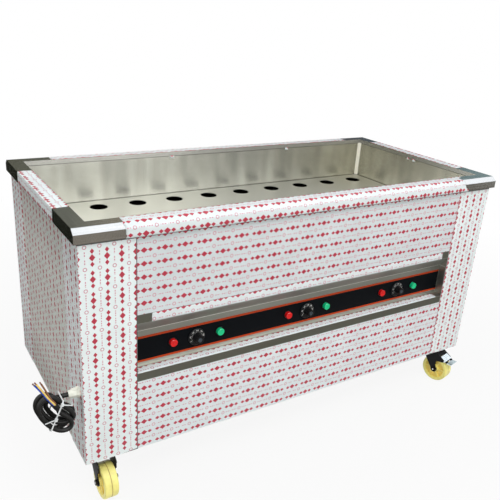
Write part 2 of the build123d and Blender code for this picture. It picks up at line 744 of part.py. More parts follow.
def caster(place, axis_x, axis_y, turn, braked):
    """Fork, axle and wheel of one caster, and its brake pedal where it has one."""
    outward = math.copysign(1, axis_y)
    angle = math.radians(turn)
    trail = Vector(math.sin(angle), outward * math.cos(angle), 0)
    across = trail.cross(Vector(0, 0, 1))
    side = Plane(origin=(axis_x, axis_y, 0), x_dir=trail, z_dir=across)
    flat = Plane(origin=(axis_x, axis_y, 0), x_dir=trail, z_dir=(0, 0, 1))
    axle_place = (caster_trail, wheel_radius)
    pivot_place = (pedal_pivot_reach, crown_z - pedal_pivot_drop)

    tip_reach, tip_drop = (wing_reach, wing_drop) if braked else (plain_wing_reach, plain_wing_drop)
    slope = (tip_drop / (tip_reach - crown_front)) if braked else 0.0
    notch_t = caster_trail + leg_waist
    notch_z = crown_z - wing_notch
    with BuildPart() as fork:
        for low in (cheek_inner, -cheek_outer):
            with BuildSketch(side.offset(low)):
                with BuildLine():
                    Polyline(
                        (-crown_back, crown_z),
                        (crown_front, crown_z),
                        (tip_reach, crown_z - tip_drop),
                        (tip_reach - wing_rake, crown_z - tip_drop - wing_depth),
                        (notch_t + wing_depth, notch_z + wing_rake),
                        (notch_t, notch_z),
                        (notch_t, wheel_radius + leg_flare),
                        (caster_trail + cheek_boss, wheel_radius),
                        (caster_trail - cheek_boss, wheel_radius),
                        (-cheek_back, crown_z - cheek_back_drop),
                        (-crown_back, crown_z - crown_skirt),
                        close=True,
                    )
                make_face()
                with Locations(axle_place):
                    Circle(cheek_boss)
                    Circle(axle_diameter / 2, mode=Mode.SUBTRACT)
            extrude(amount=cheek_sheet)
        with BuildSketch(flat.offset(crown_z)):
            with Locations(((crown_front - crown_back) / 2, 0)):
                Rectangle(crown_front + crown_back, 2 * cheek_outer)
            Circle(kingpin_diameter / 2 + kingpin_clearance, mode=Mode.SUBTRACT)
        extrude(amount=-crown_sheet)
        if braked:
            with BuildSketch(side.offset(-cheek_inner)):
                with BuildLine():
                    Polyline(
                        (crown_front - cover_sheet, crown_z),
                        (crown_front, crown_z),
                        (cover_reach, crown_z - slope * (cover_reach - crown_front)),
                    )
                    offset(amount=cover_sheet, side=Side.RIGHT, kind=Kind.INTERSECTION)
                make_face()
                with Locations(pivot_place):
                    Circle(pedal_pin_diameter / 2)
            extrude(amount=2 * cheek_inner)
    save(f"fork_{place}", fork)

    with BuildPart() as axle:
        with BuildSketch(side.offset(-cheek_outer - axle_head_height - axle_end)):
            with Locations(axle_place):
                Circle(axle_diameter / 2)
        extrude(amount=2 * cheek_outer + axle_head_height + axle_end)
        for low in (cheek_outer, -cheek_outer - axle_head_height):
            with BuildSketch(side.offset(low)):
                with Locations(axle_place):
                    RegularPolygon(axle_head_across / 2, hex_sides, major_radius=False)
            extrude(amount=axle_head_height)
    save(f"axle_{place}", axle)

    centre = side.from_local_coords((*axle_place, 0))
    section = Plane(origin=centre, x_dir=across, z_dir=trail)
    half, rim_inner, hub = wheel_width / 2, rim_inner_diameter / 2, hub_diameter / 2
    with BuildPart() as wheel:
        with BuildSketch(section) as profile:
            with BuildLine():
                Polyline(
                    (-hub_width / 2, axle_diameter / 2 + axle_clearance),
                    (-hub_width / 2, hub),
                    (-web_width / 2, hub + hub_draft),
                    (-web_width / 2, rim_inner - rim_draft),
                    (-half, rim_inner),
                    (-half, wheel_radius),
                    (-parting_groove, wheel_radius),
                    (0, wheel_radius - parting_groove),
                    (parting_groove, wheel_radius),
                    (half, wheel_radius),
                    (half, rim_inner),
                    (web_width / 2, rim_inner - rim_draft),
                    (web_width / 2, hub + hub_draft),
                    (hub_width / 2, hub),
                    (hub_width / 2, axle_diameter / 2 + axle_clearance),
                    close=True,
                )
            make_face()
            tread_corners = [
                profile.vertices().sort_by_distance((x, wheel_radius))[0]
                for x in (-half, half)
            ]
            fillet(tread_corners, tread_round)
        revolve(axis=Axis(centre, across))
        rib_length = rim_inner - hub
        for face in (web_width / 2, -web_width / 2 - rib_rise):
            with BuildSketch(Plane(origin=centre, x_dir=trail, z_dir=across).offset(face)):
                with PolarLocations((rim_inner + hub) / 2, wheel_ribs):
                    Rectangle(rib_length, rib_width)
            extrude(amount=rib_rise)
    save(f"wheel_{place}", wheel)

    if not braked:
        return
    plate_half = cheek_inner - pedal_side_gap
    plate_from = cover_reach + pedal_cover_gap
    plate_from_z = crown_z - slope * (plate_from - crown_front)
    plate_to_z = crown_z - slope * (pedal_reach - crown_front)
    shoe_radius = wheel_radius + shoe_gap
    shoe = [
        (
            caster_trail + shoe_radius * math.sin(math.radians(turned)),
            wheel_radius + shoe_radius * math.cos(math.radians(turned)),
        )
        for turned in (shoe_from, shoe_to)
    ]
    with BuildPart() as pedal:
        with BuildSketch(side.offset(-plate_half)):
            with BuildLine():
                Polyline(
                    (plate_from, plate_from_z),
                    (pedal_reach, plate_to_z),
                    (blade_reach, crown_z - blade_drop),
                )
                offset(amount=pedal_sheet, side=Side.RIGHT, kind=Kind.INTERSECTION)
            make_face()
            with BuildLine():
                Polyline(
                    shoe[0],
                    (shoe[0][0], crown_z - slope * (shoe[0][0] - crown_front) - pedal_sheet / 2),
                    (shoe[1][0], crown_z - slope * (shoe[1][0] - crown_front) - pedal_sheet / 2),
                    shoe[1],
                    close=True,
                )
            make_face()
            with Locations(pivot_place):
                Circle(pedal_barrel_diameter / 2)
                Circle(pedal_pin_diameter / 2 + pedal_pin_clearance, mode=Mode.SUBTRACT)
        extrude(amount=2 * plate_half)
        with BuildSketch(flat.offset(plate_from_z)):
            with Locations((pedal_reach - pedal_slot_inset, 0)):
                Rectangle(pedal_slot_width, pedal_slot_length)
        extrude(amount=plate_to_z - plate_from_z - pedal_slot_inset, mode=Mode.SUBTRACT)
    save(f"brake_pedal_{place}", pedal)


caster("front_left", caster_left_x, -caster_y, front_left_turn, False)
caster("front_right", caster_right_x, -caster_y, front_right_turn, True)
caster("back_left", caster_left_x, caster_y, back_left_turn, False)
caster("back_right", caster_right_x, caster_y, back_right_turn, True)

# Drain: pipe from the tank's floor, ball valve under the base, and its lever
valve_low_z = valve_height - valve_length / 2
with BuildPart() as drain_valve:
    with BuildSketch(Plane.XY.offset(valve_low_z - spout_length)):
        with Locations((drain_x, drain_y)):
            Circle(drain_pipe_diameter / 2)
    extrude(amount=tank_floor_z - sheet - valve_low_z + spout_length)
    with BuildSketch(Plane.XY.offset(valve_low_z)):
        with Locations((drain_x, drain_y)):
            RegularPolygon(valve_diameter / 2, valve_sides, major_radius=False, rotation=180 / valve_sides)
    extrude(amount=valve_length)
    with BuildSketch(Plane.XZ.offset(-drain_y - valve_diameter / 2 - stem_length)):
        with Locations((drain_x, valve_height)):
            Circle(stem_diameter / 2)
    extrude(amount=stem_length + valve_diameter / 2)
    with BuildSketch(Plane.XY.offset(valve_low_z - spout_length)):
        with Locations((drain_x, drain_y)):
            Circle(drain_bore / 2)
    extrude(amount=spout_length, mode=Mode.SUBTRACT)
save("drain_valve", drain_valve)

lever_y = drain_y + valve_diameter / 2 + lever_gap
with BuildPart() as drain_lever:
    with BuildSketch(Plane.XZ.offset(-lever_y)):
        with Locations((drain_x, valve_height)):
            Circle(lever_width / 2)
        with Locations((drain_x + lever_length / 2, valve_height)):
            Rectangle(lever_length, lever_width)
        with Locations((drain_x + lever_length, valve_height)):
            Circle(lever_width / 2)
        with Locations((drain_x, valve_height)):
            Circle(stem_diameter / 2 + stem_clearance, mode=Mode.SUBTRACT)
    extrude(amount=-lever_sheet)
save("drain_lever", drain_lever)

# Cable gland: body through the post, locknut inside and dome nut outside
gland_axis = Plane(origin=(-body_x, gland_axis_y, gland_axis_z), x_dir=(0, 1, 0), z_dir=(-1, 0, 0))
gland_bore = cable_diameter / 2 - cable_grip
with BuildPart() as gland_body:
    with BuildSketch(gland_axis):
        RegularPolygon(gland_across / 2, hex_sides, major_radius=False)
    extrude(amount=gland_hex)
    with BuildSketch(gland_axis):
        Circle(gland_thread / 2)
    extrude(amount=-gland_inside)
    with BuildSketch(gland_axis.offset(gland_hex)):
        Circle(gland_bore)
    extrude(amount=-gland_hex - gland_inside, mode=Mode.SUBTRACT)
save("gland_body", gland_body)

with BuildPart() as gland_locknut:
    with BuildSketch(gland_axis.offset(-sheet)):
        RegularPolygon(locknut_across / 2, hex_sides, major_radius=False)
        Circle(gland_thread / 2, mode=Mode.SUBTRACT)
    extrude(amount=-locknut_height)
save("gland_locknut", gland_locknut)

gland_end = gland_hex + gland_dome
with BuildPart() as gland_dome_nut:
    with BuildSketch(gland_axis.offset(gland_hex)):
        RegularPolygon(gland_dome_diameter / 2, hex_sides, major_radius=False)
    extrude(amount=gland_dome / 2)
    with BuildSketch(gland_axis.offset(gland_hex + gland_dome / 2)):
        Circle(gland_dome_diameter / 2)
    with BuildSketch(gland_axis.offset(gland_end)):
        Circle(gland_nose_diameter / 2)
    loft()
    with BuildSketch(gland_axis.offset(gland_hex)):
        Circle(gland_bore)
    extrude(amount=gland_dome, mode=Mode.SUBTRACT)
save("gland_dome_nut", gland_dome_nut)

# Terminal block on the inside of the front left post, where the cable ends
terminal_x = -body_x + terminal_reach
sheet_box(
    "terminal_block",
    (terminal_x, -panel_y, gland_axis_z - terminal_size[2] / 2),
    (terminal_x + terminal_size[0], -panel_y + terminal_size[1], gland_axis_z + terminal_size[2] / 2),
)

# Supply cable from the terminal block through the gland
cable_end = gland_end + cable_straight
with BuildPart() as power_cable:
    with BuildSketch(gland_axis.offset(-terminal_reach)):
        Circle(cable_diameter / 2)
    extrude(amount=terminal_reach + cable_end)
save("power_cable", power_cable)

# Cable hank: directions along its length, across it and from layer to layer
lean = math.radians(hank_lean)
hank_up = Vector(-math.sin(lean), 0, math.cos(lean))
hank_right = Vector(math.cos(lean), 0, math.sin(lean))
hank_front = Vector(0, -1, 0)
hank_centre = Vector(-body_x - hank_out, gland_axis_y, top_z - hank_drop)


def hank_layer(turn):
    """Layers climbed by this turn, faster at first so that the loops clear the lead."""
    gone = turn - hank_first_turn
    return min(hank_climb * gone, gone + hank_climb_extra)


def hank_point(turn):
    """Centre of the cable after a number of turns: an oval that breathes in and out."""
    angle = 2 * math.pi * turn
    breath = 2 * math.pi * (turn - hank_first_turn) / hank_breath_turns
    inset = hank_breath * (1 - math.cos(breath)) / 2
    late = max(0.0, turn - hank_last_turn + hank_tail_turns) / hank_tail_turns
    radius = hank_end_radius - inset - hank_tail_inset * late**2
    run = hank_half_run * math.tanh(hank_side_flatness * math.cos(angle)) / math.tanh(hank_side_flatness)
    along = hank_up * (run + radius * math.cos(angle))
    return (
        hank_centre
        + along
        - hank_right * (radius * math.sin(angle))
        + hank_front * (hank_layer(turn) * hank_pitch)
    )


def hank_heading(turn):
    """Unit direction of the cable after a number of turns."""
    step = 0.001
    return (hank_point(turn + step) - hank_point(turn - step)).normalized()


def biarc(start, start_heading, end, end_heading):
    """Two arcs that leave one point and reach the next along the given headings."""
    chord = end - start
    both = start_heading + end_heading
    spread = 2 * (1 - start_heading.dot(end_heading))
    reach = chord.dot(both)
    arm = (math.sqrt(reach**2 + spread * chord.dot(chord)) - reach) / spread
    middle = (start + end + (start_heading - end_heading) * arm) / 2
    middle_heading = (end - end_heading * arm - start - start_heading * arm).normalized()
    TangentArc(start, middle, tangent=start_heading)
    TangentArc(middle, end, tangent=middle_heading)


hank_start = gland_axis.origin + gland_axis.z_dir * cable_end
lead_end = hank_start + gland_axis.z_dir * cable_diameter
quarters = round((hank_last_turn - hank_first_turn) * 4)
hank_turns = [hank_first_turn + index / 4 for index in range(quarters + 1)]
with BuildPart() as cable_hank:
    with BuildLine() as winding:
        Line(hank_start, lead_end)
        biarc(lead_end, gland_axis.z_dir, hank_point(hank_turns[0]), hank_heading(hank_turns[0]))
        for turn, next_turn in zip(hank_turns, hank_turns[1:]):
            biarc(hank_point(turn), hank_heading(turn), hank_point(next_turn), hank_heading(next_turn))
        tail_heading = hank_heading(hank_last_turn)
        tail_start = hank_point(hank_last_turn)
        tail_end = tail_start + tail_heading * hank_tail_run
        Line(tail_start, tail_end)
    with BuildSketch(Plane(origin=hank_start, z_dir=gland_axis.z_dir)):
        Circle(cable_diameter / 2)
    sweep(path=winding.line)
save("cable_hank", cable_hank)

hank_wire = winding.wires()[0]
samples = [hank_wire.position_at(index / hank_steps) for index in range(hank_steps + 1)]
apart = round(hank_near * cable_diameter / hank_wire.length * hank_steps)
least = min(
    (samples[a] - samples[b]).length
    for a in range(len(samples))
    for b in range(a + apart, len(samples))
)
tightest = min(edge.radius for edge in winding.edges().filter_by(GeomType.CIRCLE))
swept = math.pi * cable_diameter**2 / 4 * hank_wire.length
print(f"hank length {hank_wire.length:.0f} mm, least gap to itself {least - cable_diameter:.2f} mm")
print(f"hank tightest radius {tightest:.1f} mm")
print(f"hank volume {cable_hank.part.volume:.0f}, section times length {swept:.0f} cubic mm")

# Two cable ties, hooked end to end round the waist of the hank, each with its head and tail
tilt = math.radians(tie_tilt)
tie_along = hank_right * math.cos(tilt) + hank_up * math.sin(tilt)
tie_normal = tie_along.cross(hank_front)
stack = hank_layer(hank_last_turn) * hank_pitch
tie_room = cable_diameter / 2 + tie_clearance
tie_half = (hank_end_radius + tie_room) / math.cos(tilt) + tie_width / 2 * math.tan(tilt)
tie_depth = stack + 2 * tie_room
tie_middle = hank_centre + hank_front * (stack / 2)
tie_plane = Plane(origin=tie_middle, x_dir=tie_along, z_dir=tie_normal)
with BuildPart() as cable_ties:
    for end, place, tail_angle in zip((1, -1), tie_head_places, tie_tail_angles):
        with BuildSketch(tie_plane):
            RectangleRounded(2 * (tie_half + tie_sheet), tie_depth + 2 * tie_sheet, tie_corner + tie_sheet)
            RectangleRounded(2 * tie_half, tie_depth, tie_corner, mode=Mode.SUBTRACT)
            with Locations((tie_meeting - end * 2 * tie_half, 0)):
                Rectangle(4 * tie_half, 2 * tie_depth, mode=Mode.SUBTRACT)
        extrude(amount=tie_width / 2, both=True)
        with BuildSketch(tie_plane):
            with Locations((place, (tie_depth + tie_head[1]) / 2)):
                Rectangle(tie_head[0], tie_head[1])
        extrude(amount=tie_head[2] / 2, both=True)
        turn = math.radians(tail_angle)
        tail_plane = Plane(
            origin=tie_plane.from_local_coords((place, tie_depth / 2 + tie_sheet, 0)),
            x_dir=(math.cos(turn), 0, math.sin(turn)),
            z_dir=hank_front,
        )
        with BuildSketch(tail_plane):
            with Locations((tie_tail / 2, 0)):
                Rectangle(tie_tail, tie_tail_width)
        extrude(amount=tie_sheet)
save("cable_ties", cable_ties)

# Bared cores at the cable's end: each leaves it straight, then bends twice
cut_end = Plane(origin=tail_end, x_dir=hank_right, z_dir=tail_heading)
with BuildPart() as cable_cores:
    for index, (core_length, bends) in enumerate(zip(core_lengths, core_bends)):
        spot = math.radians(210 - 120 * index)
        run = core_length / (len(bends) + 1)
        route = [cut_end.from_local_coords((math.cos(spot) * core_ring, -math.sin(spot) * core_ring, 0))]
        radii = []
        heading = 0.0
        for bend in (0.0, *bends):
            angle = math.radians(bend)
            route.append(route[-1] + (cut_end.z_dir * math.cos(angle) + cut_end.x_dir * math.sin(angle)) * run)
            if angle != heading:
                radii.append(arc_share * run / math.tan(abs(angle - heading) / 2))
            heading = angle
        print("core bend radii", [round(radius) for radius in radii], "mm")
        with BuildLine() as core_line:
            FilletPolyline(*route, radius=radii)
        with BuildSketch(Plane(origin=route[0], z_dir=cut_end.z_dir)):
            Circle(core_diameter / 2)
        sweep(path=core_line.line)
save("cable_cores", cable_cores)
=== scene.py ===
"""Looks of a dim sum steamer cart: printed film, stainless steel, controls, casters and supply cord."""

import json
import math

import bmesh
import bpy
from mathutils import Matrix, Quaternion, Vector


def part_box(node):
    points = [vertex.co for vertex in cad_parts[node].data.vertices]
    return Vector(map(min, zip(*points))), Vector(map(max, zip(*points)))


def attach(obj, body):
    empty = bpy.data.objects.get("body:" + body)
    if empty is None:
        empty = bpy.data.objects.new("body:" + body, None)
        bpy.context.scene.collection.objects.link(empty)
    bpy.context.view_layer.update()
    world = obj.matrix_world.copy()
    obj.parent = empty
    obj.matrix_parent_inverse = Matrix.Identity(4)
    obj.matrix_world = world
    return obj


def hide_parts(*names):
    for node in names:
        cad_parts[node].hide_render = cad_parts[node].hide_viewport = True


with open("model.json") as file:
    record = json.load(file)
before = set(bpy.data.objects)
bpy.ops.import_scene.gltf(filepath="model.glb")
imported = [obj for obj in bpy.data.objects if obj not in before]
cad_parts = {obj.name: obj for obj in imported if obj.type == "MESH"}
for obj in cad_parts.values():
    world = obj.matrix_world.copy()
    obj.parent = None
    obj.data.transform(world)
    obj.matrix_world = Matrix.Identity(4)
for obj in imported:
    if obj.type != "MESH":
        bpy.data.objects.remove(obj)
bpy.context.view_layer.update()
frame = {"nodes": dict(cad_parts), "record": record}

bl_info = {
    "name": "Steamer cart dressing",
    "version": (1, 0, 0),
    "blender": (4, 5, 0),
    "location": "View3D > Sidebar > Steamer cart",
    "description": "Film, finishes, marks, cord and stage of a dim sum steamer cart",
    "category": "Object",
}

MM = 0.001
BODY = "cart"
HANDS = ("left", "middle", "right")
CORNERS = ("front_left", "front_right", "back_left", "back_right")
HANK_TURNS = 3.5


def linear(code):
    """Linear RGBA of an sRGB hex code."""
    channels = []
    for start in (0, 2, 4):
        level = int(code[start : start + 2], 16) / 255
        channels.append(level / 12.92 if level <= 0.04045 else ((level + 0.055) / 1.055) ** 2.4)
    return (*channels, 1.0)


def tint(name, description, code):
    """A colour that a user would change."""
    return bpy.props.FloatVectorProperty(
        name=name, description=description, subtype="COLOR", size=4, min=0.0, max=1.0, default=linear(code)
    )


def size(name, description, millimetres):
    """A length that a user would change."""
    return bpy.props.FloatProperty(
        name=name, description=description, unit="LENGTH", precision=5, default=millimetres * MM
    )


class CartColours(bpy.types.PropertyGroup):
    """Colours of the cart's finishes."""

    film: tint("Film", "White of the protective film", "E9F1F0")
    strip_film: tint("Strip film", "White of the loose film on the rim and the recess", "DFE6E6")
    # Painted light: a brighter copy of the strip film, for the left rail and the ledge.
    end_strip_lit: tint("End strip", "White of the loose film on the left rail and the ledge", "F0F8F8")
    panel_film: tint("Panel film", "White of the film on the lower and back panels", "DEE5E6")
    # Painted shade: a darker copy of the film, for the upper front panel.
    upper_film_shaded: tint("Upper film", "White of the film on the upper front panel", "D4DBDC")
    # Painted shade: a darker copy of the film, for the two ends.
    end_film_shaded: tint("End film", "White of the film on the two ends", "D8DFD8")
    print_bold: tint("Print", "Red of the film's bold marks", "B72C42")
    print_light: tint("Light print", "Pink of the film's fine marks", "CF98A3")
    rim_steel: tint("Rim steel", "Bare steel at the rim's corners", "C0BFBA")
    recess_steel: tint("Recess steel", "Bare steel of the control recess", "AEB1AA")
    well_steel: tint("Well steel", "Brushed steel of the steam well", "C7C7BF")
    seal: tint("Sealant", "Bead in the corners of the well", "EFEBDC")
    label: tint("Label", "Black of the control label", "080B0F")
    border: tint("Label border", "Lower orange line of the control label", "C2451F")
    upper_border: tint(
        "Upper border", "Upper line of the label, deeper in the shade of the recess", "A83C1D"
    )
    red_lamp: tint("Red lamp", "Lens of the power lamps", "DE1113")
    green_lamp: tint("Green lamp", "Lens of the heating lamps", "0CCB88")
    black_moulding: tint("Knob", "Black of the knobs", "141517")
    dial_mark: tint("Dial marks", "Ticks and numbers on the knobs", "F2F2EE")
    enamel: tint("Fork", "Black enamel of the casters' forks and plates", "121315")
    wheel: tint("Wheel", "Pale yellow of the wheels", "FFF48E")
    # Painted shade: a deeper yellow for the wheels' recessed sides.
    wheel_recess_shade: tint("Wheel recess", "Deeper yellow inside the wheels", "FBDF6E")
    zinc: tint("Zinc", "Zinc plate of the bolts", "C6D2D8")
    chrome: tint("Chrome", "Chrome plate of the brake pedals", "E9F4F9")
    ivory: tint("Gland", "Ivory of the cable gland", "F1F2E4")
    rubber: tint("Cable", "Black of the cable's sheath", "1C1C1B")
    nylon: tint("Cable tie", "Natural nylon of the cable ties", "DDE0E0")
    core_blue: tint("Blue core", "Insulation of the blue core", "2450C8")
    core_yellow: tint("Yellow core", "Insulation of the yellow core", "F0CF74")
    core_brown: tint("Brown core", "Insulation of the brown core", "8A5C40")
    copper: tint("Copper", "Bare strands of the cores", "B5643A")
    brass: tint("Brass", "Drain valve", "C2A25A")
    lever: tint("Lever", "Dipped grip of the drain lever", "A32420")
    floor: tint("Floor", "Studio floor", "D2D2D0")


class CartSizes(bpy.types.PropertyGroup):
    """Sizes of the pieces that dress the cart."""

    film_lift: size("Film lift", "Loose film off the steel", 0.35)
    film_sheet: size("Film sheet", "Thickness of the loose film", 0.2)
    front_film_left: size("Front film, left end", "Left end of the film on the front rail", -622)
    front_film_right: size("Front film, right end", "Right end of the film on the front rail", 613)
    back_film_left: size("Back film, left end", "Left end of the film on the back rail", -616)
    back_film_right: size("Back film, right end", "Right end of the film on the back rail", 620)
    left_film_front: size("Left film, front end", "Front end of the film on the left rail", -187)
    left_film_back: size("Left film, back end", "Back end of the film on the left rail", 195)
    right_film_front: size("Right film, front end", "Front end of the film on the right rail", -215)
    right_film_back: size("Right film, back end", "Back end of the film on the right rail", 247)
    lip_film_left: size("Lip film, left end", "Left end of the film over the recess", -548)
    lip_film_right: size("Lip film, right end", "Right end of the film over the recess", 557)
    ledge_film_right: size("Ledge film, right end", "Right end of the film on the recess ledge", 567)
    ledge_film_depth: size("Ledge film", "Depth of the film on the recess ledge", 30)
    cable: size("Cable", "Diameter of the supply cable", 12.5)
    core: size("Core", "Diameter of a core", 4.6)
    numeral: size("Numeral", "Height of the numbers on the knobs", 4.0)
    tick: size("Tick", "Length of a tick on the knobs", 1.5)
    tack: size("Tack", "Size of a weld tack beside the recess", 5)


def colours():
    return bpy.context.scene.cart_colours


def sizes():
    return bpy.context.scene.cart_sizes


def add(tree, kind, inputs=None, **settings):
    """Adds one node with its settings, and links or sets its inputs."""
    node = tree.nodes.new(kind)
    for key, value in settings.items():
        setattr(node, key, value)
    for key, value in (inputs or {}).items():
        if isinstance(value, bpy.types.NodeSocket):
            tree.links.new(value, node.inputs[key])
        else:
            node.inputs[key].default_value = value
    return node


def start_material(name):
    """A new material with one Principled shader, and its node tree."""
    made = bpy.data.materials.new(name)
    made.use_nodes = True
    tree = made.node_tree
    tree.nodes.clear()
    shader = add(tree, "ShaderNodeBsdfPrincipled")
    add(tree, "ShaderNodeOutputMaterial", {"Surface": shader.outputs["BSDF"]})
    return made, tree, shader


def coat(material, *nodes):
    """Gives CAD nodes a finish."""
    for name in nodes:
        for index in range(len(frame["nodes"][name].data.materials)):
            frame["nodes"][name].data.materials[index] = material


def link_object(name, data):
    made = bpy.data.objects.new(name, data)
    bpy.context.scene.collection.objects.link(made)
    return made


def dressed(name, mesh, material, body=BODY):
    """A finished piece at the origin that rides on a body."""
    made = link_object(name, mesh)
    if material is not None:
        mesh.materials.append(material)
    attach(made, body)
    return made


def joint(name):
    """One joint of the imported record."""
    return next(j for j in frame["record"]["behaviour"]["joints"] if j["name"] == name)


def film_marks(tree, place):
    """Masks of the film's bold and fine print, from a place on the film in millimetres.

    Three lozenges to a cell in straight rows, with a ring and a dashed line between the rows.
    """
    half_cell = Vector((28.5, 18.5, 1.0))
    dash_cell = Vector((3.5, 18.5, 1.0))
    large_lozenge = (1 / 9.6, 1 / 7.8, 0)  # one over half its width and half its height
    small_lozenge = (1 / 7.0, 1 / 5.4, 0)
    small_offset = (17.0, 0, 0)
    ring_radius, half_ring, half_line, half_dash = 4.4, 1.1, 1.4, 2.3
    run_middle, half_run = 18.0, 8.0
    cell = add(tree, "ShaderNodeVectorMath", {0: place, 1: half_cell, 2: -half_cell}, operation="WRAP")
    folded = add(tree, "ShaderNodeVectorMath", {0: cell.outputs[0]}, operation="ABSOLUTE")
    large = add(
        tree, "ShaderNodeVectorMath", {0: folded.outputs[0], 1: large_lozenge}, operation="DOT_PRODUCT"
    )
    large = add(tree, "ShaderNodeMath", {0: large.outputs["Value"], 1: 1.0}, operation="LESS_THAN")
    beside = add(tree, "ShaderNodeVectorMath", {0: folded.outputs[0], 1: small_offset}, operation="SUBTRACT")
    beside = add(tree, "ShaderNodeVectorMath", {0: beside.outputs[0]}, operation="ABSOLUTE")
    small = add(
        tree, "ShaderNodeVectorMath", {0: beside.outputs[0], 1: small_lozenge}, operation="DOT_PRODUCT"
    )
    small = add(tree, "ShaderNodeMath", {0: small.outputs["Value"], 1: 1.0}, operation="LESS_THAN")
    bold = add(tree, "ShaderNodeMath", {0: large.outputs[0], 1: small.outputs[0]}, operation="MAXIMUM")
    moved = add(tree, "ShaderNodeVectorMath", {0: place, 1: half_cell}, operation="ADD")
    between = add(
        tree, "ShaderNodeVectorMath", {0: moved.outputs[0], 1: half_cell, 2: -half_cell}, operation="WRAP"
    )
    reach = add(tree, "ShaderNodeVectorMath", {0: between.outputs[0]}, operation="LENGTH")
    ring = add(
        tree,
        "ShaderNodeMath",
        {0: reach.outputs["Value"], 1: ring_radius, 2: half_ring},
        operation="COMPARE",
    )
    dash = add(
        tree, "ShaderNodeVectorMath", {0: moved.outputs[0], 1: dash_cell, 2: -dash_cell}, operation="WRAP"
    )
    dash_place = add(tree, "ShaderNodeSeparateXYZ", {0: dash.outputs[0]})
    row_place = add(tree, "ShaderNodeSeparateXYZ", {0: between.outputs[0]})
    on_row = add(
        tree, "ShaderNodeMath", {0: row_place.outputs["Y"], 1: 0.0, 2: half_line}, operation="COMPARE"
    )
    on_dash = add(
        tree, "ShaderNodeMath", {0: dash_place.outputs["X"], 1: 0.0, 2: half_dash}, operation="COMPARE"
    )
    side = add(tree, "ShaderNodeMath", {0: row_place.outputs["X"]}, operation="ABSOLUTE")
    in_run = add(
        tree, "ShaderNodeMath", {0: side.outputs[0], 1: run_middle, 2: half_run}, operation="COMPARE"
    )
    line = add(tree, "ShaderNodeMath", {0: on_row.outputs[0], 1: on_dash.outputs[0]}, operation="MULTIPLY")
    line = add(tree, "ShaderNodeMath", {0: line.outputs[0], 1: in_run.outputs[0]}, operation="MULTIPLY")
    fine = add(tree, "ShaderNodeMath", {0: ring.outputs[0], 1: line.outputs[0]}, operation="MAXIMUM")
    return bold.outputs[0], fine.outputs[0]


